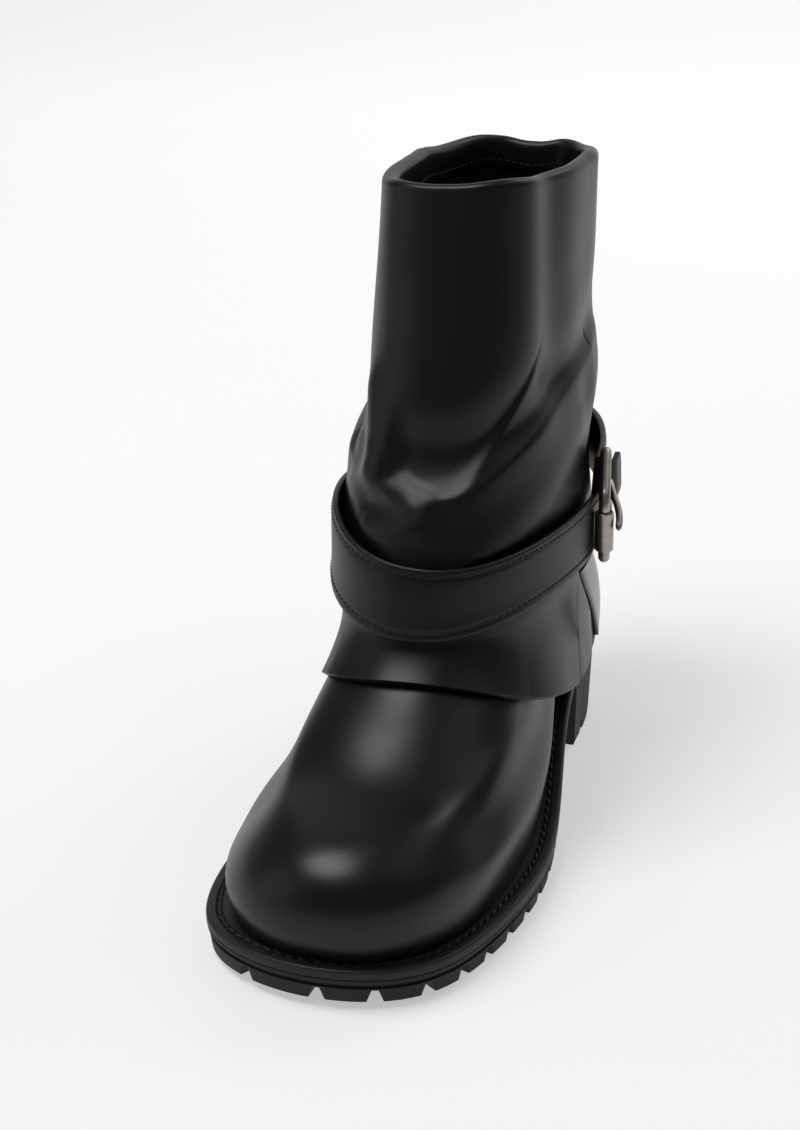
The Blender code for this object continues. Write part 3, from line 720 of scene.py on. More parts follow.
@dataclass
class StitchRow:
    """A row of sewn stitches, each a short thread whose ends dip into the leather."""

    pitch: float
    length: float
    radius: float
    slant: float = 0.0
    sides: int = 6

    def build(self, name: str, path: Array, outward: Array, finish: Finish, slot: Slot) -> bpy.types.Object:
        """Place stitches at an even pitch along a path.

        Each stitch is a tube of five rings; ring r lies at a share of the length along the path, with a
        radius that narrows at the ends and a dip of the square of that share.

        Args:
            name: The piece's name.
            path: Points of the sewing line, in millimetres.
            outward: Surface normals at those points.
            finish: The thread's finish.
            slot: The record's slot for it; not used.

        Returns:
            The new object.
        """
        run = lengths(path)
        at = np.arange(0.5 * self.pitch, run[-1], self.pitch)
        centre, out = (np.stack([np.interp(at, run, item[:, k]) for k in range(3)], -1)
                       for item in (path, outward))
        ahead = np.stack([np.interp(at + 0.5, run, path[:, k]) - np.interp(at - 0.5, run, path[:, k])
                          for k in range(3)], -1)
        out = unit(out)
        along = unit(ahead)
        side = unit(np.cross(out, along))
        along = unit(along + side * self.slant)
        side = np.cross(out, along)
        share = np.array([-1.0, -0.62, 0.0, 0.62, 1.0])
        thick = self.radius * np.array([0.45, 0.92, 1.0, 0.92, 0.45])
        dip = self.radius * (0.35 - 1.15 * share**2)
        turn = np.linspace(0.0, TURN, self.sides, endpoint=False)
        spine = (centre[:, None] + along[:, None] * (0.5 * self.length * share)[:, None]
                 + out[:, None] * dip[:, None])
        around = (side[:, None, None] * np.cos(turn)[:, None] + out[:, None, None] * np.sin(turn)[:, None])
        points = spine[:, :, None] + around * thick[:, None, None]
        rings = len(share)
        block = rings * self.sides
        quads = quad_faces(rings, self.sides, False, True)
        first = np.arange(len(at))[:, None, None] * block
        faces = (quads[None] + first).reshape(-1, 4)
        ends = np.stack([np.arange(self.sides)[::-1], np.arange(self.sides) + block - self.sides])
        if enclosed(points[0].reshape(-1, 3), quads) < 0.0:
            faces = faces[:, ::-1]
            ends = ends[:, ::-1]
        caps = (ends[None] + first).reshape(-1, self.sides)
        return put_mesh(name, placed(points), faces.tolist() + caps.tolist(), finish)


@dataclass
class SoleForm:
    """Plan and heights of the sole, shared by welt, outsole, heel and insole."""

    length: float = 278.0
    heel_height: float = 39.6
    forefoot_height: float = 12.6
    toe_spring: float = 3.2
    spring_start: float = -75.0
    spring_run: float = 64.0
    rise_start: float = -45.0
    rise_run: float = 115.0
    welt_thickness: float = 3.3
    gap: float = 0.3
    shank: float = 6.0
    tread_end: float = -14.0
    tread_step: float = 3.0
    tip: float = 0.004

    def spring(self, y: Array) -> Array:
        """Rise of the sole towards the toe: the square of the share of the spring's run."""
        return self.toe_spring * np.clip((self.spring_start - y) / self.spring_run, 0.0, 1.0) ** 2

    def welt_top(self, y: Array) -> Array:
        """Height of the welt's upper face: forefoot height, spring and the eased rise to the heel."""
        rise = (self.heel_height - self.forefoot_height) * ease((y - self.rise_start) / self.rise_run)
        return self.forefoot_height + self.spring(y) + rise

    def outsole_top(self, y: Array) -> Array:
        """Height of the outsole's upper face, under the welt."""
        return self.welt_top(y) - self.welt_thickness - self.gap

    def outsole_under(self, y: Array) -> Array:
        """Height of the outsole's underside: flat tread, a step at the waist, then the thin shank.

        Args:
            y: Places along the boot.

        Returns:
            Heights above the floor.
        """
        tread = self.spring(y)
        shank = self.outsole_top(y) - self.shank
        return tread + (shank - tread) * ease((y - self.tread_end) / self.tread_step)

    def turn_at(self, y: float) -> float:
        """Turn of the outline at a place along the boot, from 0 at the toe to pi at the heel."""
        return math.acos(float(np.clip(-2.0 * y / self.length, -1.0, 1.0)))

    def edge(self, turn: Array) -> Array:
        """Plan outline: y is minus half the length times the turn's cosine, x a spline of the half widths.

        Args:
            turn: 0 at the toe, pi at the heel along the lateral side, and on to 2 pi along the medial side.

        Returns:
            Points with x and y.
        """
        turn = np.mod(turn, TURN)
        half_turn = np.minimum(turn, TURN - turn)
        half = spline(np.arccos(1.0 - 2.0 * OUTLINE[:, 0]), OUTLINE[:, 1:], half_turn)
        x = np.where(turn <= math.pi, half[..., 0], -half[..., 1])
        return np.stack([x, -0.5 * self.length * np.cos(half_turn)], -1)

    def outward(self, turn: Array) -> Array:
        """Unit normals of the outline, from a small step along it."""
        run = self.edge(turn + STEP) - self.edge(turn - STEP)
        return unit(np.stack([run[..., 1], -run[..., 0]], -1))

    def ring(self, turn: Array, inset: float, height: Callable[[Array], Array]) -> Array:
        """Outline moved in by an inset, with a height for each place along the boot.

        Args:
            turn: Turns of the outline.
            inset: Distance inwards.
            height: Height as a function of y.

        Returns:
            Points of the ring.
        """
        plan = self.edge(turn) - self.outward(turn) * inset
        return np.column_stack([plan, height(plan[:, 1])])

    def girth(self, turn: Array) -> Array:
        """Length of the outline from the toe to each turn."""
        fine = np.linspace(0.0, TURN, FINE)
        return np.interp(turn, fine, lengths(self.edge(fine)))

    def even_turns(self, count: int) -> Array:
        """Turns that divide the whole outline into equal lengths."""
        fine = np.linspace(0.0, TURN, FINE)
        return spaced(fine, self.girth(fine), count)


@dataclass
class LastForm:
    """Faces of the foot and of the sleeve over it, as rings of levels and angles."""

    sole: SoleForm
    swing_start: float = -90.0
    swing_run: float = 130.0
    waist_y: float = 22.0
    waist_run: float = 38.0
    waist_lateral: float = 0.3
    heel_round: float = 30.0
    tuck_start: float = 6.0
    tuck_end: float = 8.0
    back_lift: float = 0.63
    back_sharpness: float = 0.7
    ankle_level: float = 9.0
    ladder: int = 281
    wall: float = 1.8
    gap: float = 0.3

    def foot(self, level: Array, angle: Array) -> Array:
        """Outer face of the foot: superellipse rings through the foot's sections.

        Along and across are signed powers of the angle's cosine and sine. The half width passes from the
        ball's to the heel's and is nipped at the waist; the toe swings to the medial side.

        Args:
            level: Section number, 0 at the feather edge.
            angle: 0 at the toe, a quarter turn on the lateral side.

        Returns:
            Points.
        """
        level, angle = np.broadcast_arrays(np.asarray(level, float), np.asarray(angle, float))
        columns = np.moveaxis(spline(np.arange(len(FOOT)), FOOT, level), -1, 0)
        front_y, front_rise, back_y, back_rise, wide_y, lateral, medial, *shape = columns
        heel, swing, curve, flat, waist = shape
        along = power(np.cos(angle), 2.0 / curve)
        across = power(np.sin(angle), 2.0 / curve)
        y = wide_y - np.where(along >= 0.0, wide_y - front_y, back_y - wide_y) * along
        half = np.where(across >= 0.0, lateral, medial)
        half = half + (heel - half) * ease((y - wide_y) / (back_y - self.heel_round - wide_y))
        nip = np.where(across < 0.0, waist, self.waist_lateral * waist)
        half = half - nip * bell(y - self.waist_y, self.waist_run)
        x = swing * (1.0 - ease((y - self.swing_start) / self.swing_run)) + half * across
        share = (y - front_y) / (back_y - front_y)
        rise = front_rise + (back_rise - front_rise) * share
        front_z = front_rise + self.sole.welt_top(front_y)
        back_z = back_rise + self.sole.welt_top(back_y)
        straight = front_z + (back_z - front_z) * share
        z = flat * straight + (1.0 - flat) * (self.sole.welt_top(y) + rise)
        return np.stack([x, y, z], -1)

    def sleeve(self, level: Array, angle: Array) -> Array:
        """Outer face of the shaft and skirt: superellipse rings whose edge drops towards the heel.

        Args:
            level: Section number, from the hem to the collar.
            angle: 0 at the front, a quarter turn on the lateral side.

        Returns:
            Points.
        """
        level, angle = np.broadcast_arrays(np.asarray(level, float), np.asarray(angle, float))
        columns = np.moveaxis(spline(HEM_LEVEL + np.arange(len(SLEEVE)), SLEEVE, level), -1, 0)
        front_y, front_z, back_y, back_z, wide_y, lateral, medial, centre, curve, drop = columns
        along = power(np.cos(angle), 2.0 / curve)
        across = power(np.sin(angle), 2.0 / curve)
        y = wide_y - np.where(along >= 0.0, wide_y - front_y, back_y - wide_y) * along
        x = centre + np.where(across >= 0.0, lateral, medial) * across
        share = np.clip((back_y - y) / (back_y - front_y), 0.0, 1.0)
        return np.stack([x, y, back_z + (front_z - back_z) * share**drop], -1)

    def normals(self, surface: Surface, level: Array, angle: Array) -> Array:
        """Outward unit normals of a ring surface: the product of its small steps along angle and level.

        Args:
            surface: The ring surface.
            level: Levels of the places.
            angle: Their angles.

        Returns:
            Unit vectors.
        """
        along = surface(level, angle + STEP) - surface(level, angle - STEP)
        up = surface(level + STEP, angle) - surface(level - STEP, angle)
        return unit(np.cross(along, up))

    def sleeve_at(self, level: Array, angle: Array, offset: Array | float) -> Array:
        """Places on the sleeve, moved out along its normals."""
        level, angle, offset = np.broadcast_arrays(level, angle, offset)
        return self.sleeve(level, angle) + self.normals(self.sleeve, level, angle) * offset[..., None]

    def upper_face(self, level: Array, angle: Array) -> Array:
        """Outer face of the upper: the foot below the skirt, eased into a face close inside the sleeve.

        Args:
            level: Section number, 0 at the feather edge.
            angle: 0 at the toe, a quarter turn on the lateral side.

        Returns:
            Points.
        """
        level, angle = np.broadcast_arrays(np.asarray(level, float), np.asarray(angle, float))
        share = ease((level - self.tuck_start) / (self.tuck_end - self.tuck_start))[..., None]
        low = self.foot(np.minimum(level, len(FOOT) - 1.0), angle)
        back = (0.5 - 0.5 * np.cos(angle)) ** self.back_sharpness
        raised = level + self.back_lift * back * np.maximum(self.tuck_end - level, 0.0)
        inside = self.sleeve_at(np.maximum(raised, HEM_LEVEL), angle, -(self.wall + self.gap))
        return low + (inside - low) * share

    def even_angles(self, surface: Surface, level: float, count: int) -> Array:
        """Angles that divide a ring of a surface into equal lengths, starting at the front."""
        fine = np.linspace(0.0, TURN, FINE)
        return spaced(fine, lengths(surface(np.full(fine.shape, level), fine)), count)

    def girth(self, angle: Array) -> Array:
        """Length round the ankle from the front to each angle, over one turn either way.

        Args:
            angle: Angles round the ankle.

        Returns:
            Lengths in millimetres, with the angle's sign.
        """
        fine = np.linspace(-TURN, TURN, FINE)
        length = lengths(self.sleeve(np.full(fine.shape, self.ankle_level), fine))
        return np.interp(angle, fine, length - np.interp(0.0, fine, length))

    def level_at(self, angle: Array, height: Array) -> Array:
        """Level of the sleeve at each angle where its face reaches a height, read from a fine ladder.

        Args:
            angle: Angles round the boot.
            height: Heights above the floor.

        Returns:
            A level for each angle.
        """
        levels = np.linspace(HEM_LEVEL, COLLAR_LEVEL, self.ladder)
        heights = self.sleeve(levels[:, None], angle[None, :])[..., 2]
        index = np.clip((heights < height[None, :]).sum(0) - 1, 0, len(levels) - 2)
        column = np.arange(len(angle))
        low, high = heights[index, column], heights[index + 1, column]
        return levels[index] + (height - low) / (high - low) * (levels[1] - levels[0])


@dataclass(frozen=True)
class Crease:
    """A soft trough or ridge along a path on the sleeve."""

    path: tuple[tuple[float, float], ...]
    height: float
    above: float
    below: float

    def field(self, form: LastForm, level: Array, angle: Array, level_height: float = 30.0) -> Array:
        """Height of the crease: a bell curve of the distance from its path, with its own width on each side.

        Args:
            form: The last, for lengths round the ankle.
            level: Levels of the places.
            angle: Their angles.
            level_height: Millimetres of sleeve in one level.

        Returns:
            Heights in millimetres.
        """
        turn = wrapped(angle, TURN)
        around = float(form.girth(np.array(TURN)))
        knots = np.array([(lev * level_height, form.girth(np.array(math.radians(deg))))
                          for lev, deg in self.path])
        rise = level * level_height
        best = np.full(level.shape, np.inf)
        side = np.zeros(level.shape)
        for start, end in zip(knots[:-1], knots[1:]):
            reach = end - start
            for wrap in (-around, 0.0, around):
                run = form.girth(turn) + wrap
                along = (rise - start[0]) * reach[0] + (run - start[1]) * reach[1]
                share = np.clip(along / (reach @ reach), 0, 1)
                over = rise - start[0] - share * reach[0]
                distance = np.hypot(over, run - start[1] - share * reach[1])
                nearer = distance < best
                best = np.where(nearer, distance, best)
                side = np.where(nearer, over, side)
        return self.height * bell(best, np.where(side > 0.0, self.above, self.below))


# Folds of the slouched shaft, placed on the sleeve
CREASES = (
    Crease(((8.84, 9.0), (8.50, 13.0), (8.10, 13.0)), -1.7, 4.5, 4.5),
    Crease(((9.06, -28.0), (8.94, -36.0), (8.78, -48.0)), 1.5, 5.0, 5.0),
    Crease(((8.98, -15.0), (8.86, -8.0), (8.72, -1.0)), 0.7, 4.5, 4.5),
    Crease(((8.82, -13.0), (8.80, -30.0)), -1.9, 5.0, 5.0),
    Crease(((8.62, 0.0), (8.56, -26.0)), 1.4, 5.0, 7.0),
    Crease(((9.95, 72.0), (11.0, 66.0), (12.2, 64.0)), -3.4, 17.0, 17.0),
    Crease(((8.35, 32.0), (8.62, 58.0), (9.05, 86.0)), 1.6, 12.0, 12.0),
    Crease(((9.95, -38.0), (9.50, -30.0), (9.20, -30.0)), 1.5, 7.0, 7.0),
    Crease(((10.00, -62.0), (9.62, -50.0), (9.30, -46.0)), -1.7, 8.0, 8.0),
    Crease(((9.30, 98.0), (9.38, 122.0)), 2.2, 12.0, 14.0),
    Crease(((9.58, 138.0), (9.52, 180.0), (9.50, 226.0)), -2.6, 9.0, 7.0),
    Crease(((9.22, 146.0), (9.10, 180.0), (9.12, 216.0)), 2.6, 7.0, 13.0),
    Crease(((9.70, 232.0), (9.35, 262.0), (9.05, 292.0)), 2.6, 6.0, 12.0),
    Crease(((9.98, 236.0), (9.62, 268.0), (9.34, 296.0)), -2.4, 9.0, 6.0),
    Crease(((8.62, 250.0), (8.45, 290.0)), 1.8, 10.0, 12.0),
    Crease(((8.52, 160.0), (8.60, 205.0)), -1.6, 10.0, 9.0),
    Crease(((10.40, 30.0), (11.40, 22.0)), -0.8, 16.0, 16.0),
    Crease(((10.30, 150.0), (11.40, 158.0)), -1.2, 14.0, 14.0),
)

# Arms of the pinch across the shaft's front: turn in degrees, level of the ridge, level of the valley, depth
PINCH = np.array([
    (-40.0, 9.44, 9.56, 0.0),
    (-24.0, 9.34, 9.46, 0.7),
    (-14.0, 9.20, 9.38, 1.2),
    (-4.0, 9.06, 9.38, 1.4),
    (8.0, 8.95, 9.38, 1.4),
    (18.0, 9.02, 9.42, 2.0),
    (27.0, 9.12, 9.44, 2.8),
    (38.0, 9.27, 9.50, 3.2),
    (55.0, 9.42, 9.62, 2.9),
    (68.0, 9.53, 9.72, 2.4),
    (91.0, 9.72, 9.90, 2.2),
    (104.0, 9.80, 9.98, 2.0),
    (124.0, 9.84, 10.04, 0.0),
])


@dataclass(frozen=True)
class Pinch:
    """The deep fold across the front: a flat facet cut into the leg, with arms that run on round it."""

    form: LastForm
    table: Array
    apex: tuple[float, float] = (8.93, 8.0)
    facing: tuple[float, float, float] = (-0.02, -0.70, 0.71)
    least_facing: float = 0.3
    depth: float = 6.4
    corner: float = 0.5
    west: tuple[float, float] = (-24.0, 15.0)
    tail: float = 0.40
    lip: float = 0.9
    lip_above: float = 0.07
    lip_below: float = 0.30
    lip_full: float = 1.4

    def facet(self, level: Array, angle: Array) -> Array:
        """Depth down to the facet's plane: how far the sleeve stands over it, along the sleeve's normal.

        Args:
            level: Levels of the places.
            angle: Their angles.

        Returns:
            Depths in millimetres.
        """
        apex = self.form.sleeve(np.array(self.apex[0]), np.array(math.radians(self.apex[1])))
        facing = unit(np.array(self.facing))
        normal = self.form.normals(self.form.sleeve, level, angle)
        over = (self.form.sleeve(level, angle) - apex) @ facing
        return hinge(over / np.maximum(normal @ facing, self.least_facing), self.corner)

    def field(self, level: Array, angle: Array) -> Array:
        """Height of the fold at places on the sleeve.

        The facet is capped at its full depth, ends at its west side, and dies away in a bell curve above the
        valley. The arms grow in a straight slope from ridge to valley, and a low lip swells outwards below
        the ridge.

        Args:
            level: Levels of the places.
            angle: Their angles.

        Returns:
            Heights in millimetres, inwards below zero.
        """
        turn = wrapped(np.degrees(angle), DEGREES)
        ridge, valley, depth = (np.interp(turn, self.table[:, 0], self.table[:, k]) for k in (1, 2, 3))
        rise = level - ridge
        share = rise / (valley - ridge)
        fade = bell(np.maximum(level - valley, 0.0), self.tail)
        arms = depth * (hinge(share) - hinge(share - 1.0)) * fade
        west = ease((turn - self.west[0]) / self.west[1])
        cut, most = self.facet(level, angle), self.depth * fade * west + 0.001
        facet = cut * most / (cut**4 + most**4) ** 0.25
        lip = self.lip * bell(rise, np.where(rise > 0.0, self.lip_above, self.lip_below))
        lip = lip * ease(depth / self.lip_full)
        return lip - (np.abs(arms) ** 3 + facet**3) ** (1.0 / 3.0)


# Press of the skirt's edge against the vamp: turn in degrees and depth
HEM_PRESS = np.array([
    (-180.0, 0.0),
    (-135.0, 0.0),
    (-105.0, -4.2),
    (-88.0, -4.2),
    (-72.0, -3.0),
    (-58.0, -0.9),
    (-45.0, -0.9),
    (-30.0, -2.0),
    (-15.0, -2.5),
    (0.0, -2.0),
    (15.0, -1.6),
    (30.0, -1.9),
    (45.0, -2.5),
    (60.0, -2.6),
    (78.0, -1.5),
    (100.0, 0.0),
    (180.0, 0.0),
])

# Dents of the collar: turn in degrees, half width in degrees, rise, and push outwards
COLLAR_DENTS = (
    (-4.0, 18.0, -0.9, -0.6),
    (28.0, 20.0, 0.7, 0.3),
    (64.0, 16.0, -0.9, -0.6),
    (97.0, 7.0, 1.3, 0.8),
    (138.0, 18.0, -1.3, -1.2),
    (178.0, 10.0, -1.6, -2.6),
    (214.0, 20.0, 1.3, 0.6),
    (263.0, 8.0, 1.1, 0.6),
    (306.0, 20.0, -1.2, -0.8),
)


@dataclass
class Slouch:
    """Folds and dents of the leg, followed by the shaft and by the upper inside it."""

    form: LastForm
    unevenness: float = 0.28
    wave: float = 58.0
    press_reach: float = 1.25
    dent_reach: float = 1.3

    def dents(self, level: Array, angle: Array) -> tuple[Array, Array]:
        """Rise and push of the collar's dents, each a bell curve of the turn that fades below the collar.

        Args:
            level: Levels of the places.
            angle: Their angles.

        Returns:
            Rises and pushes in millimetres.
        """
        turn, width, rise, push = (np.array(column)[:, None, None] for column in zip(*COLLAR_DENTS))
        shape = bell(wrapped(np.degrees(angle)[None] - turn, DEGREES), width)
        fade = ease((level - COLLAR_LEVEL + self.dent_reach) / self.dent_reach)
        return (shape * rise).sum(0) * fade, (shape * push).sum(0) * fade

    def folds(self, level: Array, angle: Array) -> Array:
        """Sum of the pinch and the creases, with a broad unevenness of the leather.

        Args:
            level: Levels of the places.
            angle: Their angles.

        Returns:
            Heights in millimetres, inwards below zero.
        """
        total = self.unevenness * ripple(self.form.sleeve(level, angle), self.wave)
        total = total + Pinch(self.form, PINCH).field(level, angle)
        return total + sum(crease.field(self.form, level, angle) for crease in CREASES)

    def press(self, level: Array, angle: Array) -> Array:
        """How far the skirt's edge is pressed to the vamp, fading out above the hem.

        Args:
            level: Levels of the places.
            angle: Their angles.

        Returns:
            Heights in millimetres, inwards below zero.
        """
        turn = wrapped(np.degrees(angle), DEGREES)
        fade = ease((HEM_LEVEL + self.press_reach - level) / self.press_reach)
        return np.interp(turn, HEM_PRESS[:, 0], HEM_PRESS[:, 1]) * fade

    def sink(self, level: Array, angle: Array) -> Array:
        """How far the folds and dents press inwards, for what lies under the shaft."""
        return np.minimum(self.folds(level, angle) + self.dents(level, angle)[1], 0.0)


@dataclass
class Upper:
    """The hollow upper: vamp, counter and the leg inside the sleeve."""

    form: LastForm
    slouch: Slouch
    columns: int = 240
    foot_rows: int = 110
    leg_rows: int = 30
    relief: float = 0.06
    inner_every: int = 3
    unevenness: float = 0.16
    wave: float = 46.0
    lining_seam: float = 0.9
    seam_width: float = 0.035
    seam_places: tuple[float, float] = (math.pi, 1.5 * math.pi + 0.12)
    even_level: float = 2.0
    leg_level: float = 8.0
    sink_start: float = 7.5
    sink_run: float = 0.8
    dip: float = 1.7
    dip_place: float = -84.0
    dip_length: float = 17.0
    dip_slope: float = 0.6

    def build(self) -> list[bpy.types.Object]:
        """Upper as one wall with a soft dip behind the toe: outer rows to the collar, lining rows down.

        Returns:
            The upper.
        """
        angles = self.form.even_angles(self.form.foot, self.even_level, self.columns)
        levels = np.concatenate([np.linspace(0.0, self.leg_level, self.foot_rows, endpoint=False),
                                 np.linspace(self.leg_level, COLLAR_LEVEL - self.relief, self.leg_rows)])
        level, angle = np.meshgrid(levels, angles, indexing="ij")
        outer = self.form.upper_face(level, angle)
        normal = self.form.normals(self.form.upper_face, level, angle)
        uneven = self.unevenness * ripple(outer, self.wave) * ease(level)
        seam = sum(bell(angle - place, self.seam_width) for place in self.seam_places)
        dip = self.dip * bell(outer[..., 1] - self.dip_place, self.dip_length)
        dip = dip * ease(normal[..., 2] / self.dip_slope)
        leg = np.maximum(level, self.sink_start)
        sink = self.slouch.sink(leg, angle) * ease((level - self.sink_start) / self.sink_run) - dip
        thick = self.form.wall + self.lining_seam * seam * ease(level - self.leg_level)
        inner = outer + normal * (sink - thick)[..., None]
        inner[0, :, 2] = outer[0, :, 2]
        outer = outer + normal * (sink + uneven)[..., None]
        inside = inner[::-1][::self.inner_every]
        if not np.allclose(inside[-1], inner[0]):
            inside = np.concatenate([inside, inner[:1]])
        patch = Patch(np.concatenate([outer, inside]), lining_rows=slice(len(outer) - 1, None))
        return [make_piece("upper_leather", patch, VAMP_LEATHER, ("upper",), LINING_LEATHER)]


@dataclass
class Shaft:
    """The sleeve: slouched leg, flared skirt, lapped side seams and a soft rolled collar."""

    form: LastForm
    slouch: Slouch
    columns: int = 320
    skirt_rows: int = 44
    leg_rows: int = 92
    inner_rows: int = 40
    seam_angle: float = math.radians(97.0)
    seam_step: float = 0.8
    seam_edge: float = 0.006
    seam_marks: tuple[float, ...] = (-2.5, -1.0, 1.0, 2.5)
    seam_groove: float = 0.7
    groove_width: float = 0.022
    groove_offset: float = 0.012
    even_level: float = 8.5
    leg_level: float = 8.0
    roll_rows: int = 11
    roll_rise: float = 3.0
    tuck: float = 0.32
    hem_bevel: float = 0.35
    hem_drop: float = 0.012
    facing_stitch: StitchRow = field(default_factory=lambda: StitchRow(pitch=3.0, length=2.3, radius=0.32))
    stitch_rise: float = 0.07
    stitch_sink: float = 0.05

    def seams(self) -> tuple[float, float]:
        """Angles of the lateral and medial seams."""
        return self.seam_angle, TURN - self.seam_angle

    def angles(self) -> Array:
        """Even angles, with close pairs where the front panel laps over the back one.

        Returns:
            Angles, rising.
        """
        even = self.form.even_angles(self.form.sleeve, self.even_level, self.columns)
        extra = np.array([seam + mark * self.seam_edge for seam in self.seams() for mark in self.seam_marks])
        return np.sort(np.concatenate([even, extra]))

    def lap(self, angle: Array) -> Array:
        """Step of the front panel over the back one, with a groove along its edge.

        Args:
            angle: Angles round the boot.

        Returns:
            Heights in millimetres, inwards below zero.
        """
        front = (angle <= self.seam_angle) | (angle >= TURN - self.seam_angle)
        lateral, medial = self.seams()
        behind = (bell(angle - lateral - self.groove_offset, self.groove_width)
                  + bell(angle - medial + self.groove_offset, self.groove_width))
        return np.where(front, self.seam_step, -self.seam_groove * behind)

    def face(self, levels: Array, angles: Array, offset: Array | float) -> Array:
        """Places on the dented and folded sleeve, moved out by an offset.

        Args:
            levels: Levels of the rows.
            angles: Angles of the columns.
            offset: Distance outwards.

        Returns:
            Grid of points.
        """
        level, angle = np.meshgrid(levels, angles, indexing="ij")
        rise, push = self.slouch.dents(level, angle)
        moved = self.slouch.folds(level, angle) + self.slouch.press(level, angle) + push
        points = self.form.sleeve_at(level, angle, moved + offset)
        points[..., 2] += rise
        return points

    def build(self) -> list[bpy.types.Object]:
        """Sleeve as one closed profile: hem, outer face, collar roll, tuck and inner face.

        Returns:
            The sleeve and its stitches.
        """
        angles = self.angles()
        lap = self.lap(angles)
        wall = self.form.wall
        levels = np.concatenate([np.linspace(HEM_LEVEL, self.leg_level, self.skirt_rows, endpoint=False),
                                 np.linspace(self.leg_level, COLLAR_LEVEL, self.leg_rows)])
        outer = self.face(levels, angles, lap[None])
        hem = np.array([HEM_LEVEL - self.hem_drop])
        bevel = self.face(hem, angles, lap[None] - self.hem_bevel)
        under = self.face(hem, angles, self.hem_bevel - wall)
        inner = self.face(np.linspace(COLLAR_LEVEL, HEM_LEVEL, self.inner_rows), angles, -wall)
        inside = -(2.0 * wall + 2.0 * self.form.gap)
        turn = np.linspace(0.0, math.pi, self.roll_rows)[1:-1]
        middle = 0.5 * (lap + inside - wall)
        half = 0.5 * (lap - inside + wall)
        roll = []
        for step in turn:
            row = self.face(np.array([COLLAR_LEVEL]), angles, (middle + half * math.cos(step))[None])
            row[..., 2] += self.roll_rise * math.sin(step)
            roll.append(row)
        tucked = self.face(np.linspace(COLLAR_LEVEL, COLLAR_LEVEL - self.tuck, 5), angles, inside - wall)
        back = self.face(np.linspace(COLLAR_LEVEL - self.tuck, COLLAR_LEVEL, 3), angles, inside)
        grid = np.concatenate([bevel, outer, *roll, tucked, back, inner, under])
        piece = make_piece("shaft_leather", Patch(grid), SHAFT_LEATHER, ("shaft",))
        return [piece, *self.sew()]

    def sew(self) -> list[bpy.types.Object]:
        """Row of stitches round the collar's facing.

        Returns:
            The stitches.
        """
        angles = np.linspace(0.0, TURN, 400)
        low = COLLAR_LEVEL - self.tuck + self.stitch_rise
        inside = -(3.0 * self.form.wall + 2.0 * self.form.gap) - self.stitch_sink
        path = self.face(np.array([low]), angles, inside)[0]
        outward = -self.form.normals(self.form.sleeve, np.full(angles.shape, low), angles)
        return [self.facing_stitch.build("collar_stitches", path, outward, BLACK_THREAD, Slot.LINING)]


@dataclass
class Strap:
    """The ankle strap from the buckle's back bar round heel and front to the roller, with its stitching."""

    form: LastForm
    start: float = -262.0
    end: float = 99.0
    columns: int = 420
    thickness: float = 2.6
    lift: float = 2.2
    clearance: float = 1.1
    seam_step: float = 0.8
    lean_from: float = -0.6
    edge_points: int = 7
    edge_share: float = 0.075
    groove_inset: float = 3.0
    groove_depth: float = 0.30
    groove_width: float = 0.75
    half_width: float = 12.5
    crown: float = 0.25
    face_points: int = 31
    stitch: StitchRow = field(default_factory=lambda: StitchRow(pitch=3.1, length=2.4, radius=0.34))

    def route(self, angle: Array) -> tuple[Array, Array]:
        """Height of the strap's middle and its width at each angle."""
        route = spline(np.radians(STRAP_ROUTE[:, 0]), STRAP_ROUTE[:, 1:], angle)
        return route[..., 0], route[..., 1]

    def at(self, angle: Array, across: Array, out: Array) -> Array:
        """Places on the strap, which leans away from the shaft towards its upper edge.

        Args:
            angle: Turns round the boot.
            across: Places across the half width, -1 at the lower edge.
            out: Heights above the strap's back.

        Returns:
            Points.
        """
        middle, width = self.route(angle)
        level = self.form.level_at(angle, middle + 0.5 * across * width)
        lean = ease((across - self.lean_from) / (1.0 - self.lean_from))
        lift = self.seam_step + self.clearance + self.lift * lean
        return self.form.sleeve_at(level, angle, lift + out)

    def section(self) -> tuple[Array, Array]:
        """Section of the strap: flat back, half-round edges, and a face with two sewing grooves.

        Returns:
            Places across the half width and heights above the back, round the section.
        """
        half = 0.5 * self.thickness
        turn = np.linspace(-0.5 * math.pi, 0.5 * math.pi, self.edge_points)
        edge = 1.0 - self.edge_share
        right = edge + self.edge_share * np.cos(turn)
        rise = half + half * power(np.sin(turn), 0.8)
        face = np.linspace(edge, -edge, self.face_points)[1:-1]
        inset = (1.0 - np.abs(face)) * self.half_width
        groove = -self.groove_depth * bell(inset - self.groove_inset, self.groove_width)
        crown = self.crown * (1.0 - face**2)
        across = np.concatenate([right, face, -right[::-1]])
        out = np.concatenate([rise, self.thickness + groove + crown, rise[::-1]])
        return across, out

    def build(self) -> list[bpy.types.Object]:
        """Strap carried along its route, and a row of stitches in each groove.

        Returns:
            The strap and its stitches.
        """
        angle = np.radians(np.linspace(self.start, self.end, self.columns))
        across, out = self.section()
        grid = np.array([self.at(angle, np.full(angle.shape, place), np.full(angle.shape, rise))
                         for place, rise in zip(across, out)])
        patch = Patch(grid, close_columns=False)
        pieces = [make_piece("ankle_strap", patch, STRAP_LEATHER, ("strap",))]
        for name, sign in (("upper", 1.0), ("lower", -1.0)):
            place = sign * (1.0 - self.groove_inset / self.half_width)
            path = self.at(angle, np.full(angle.shape, place), np.full(angle.shape, self.thickness))
            level = self.form.level_at(angle, path[:, 2])
            outward = self.form.normals(self.form.sleeve, level, angle)
            sewn = self.stitch.build(f"strap_stitches_{name}", path, outward, BLACK_THREAD, Slot.STRAP)
            pieces.append(sewn)
        return pieces


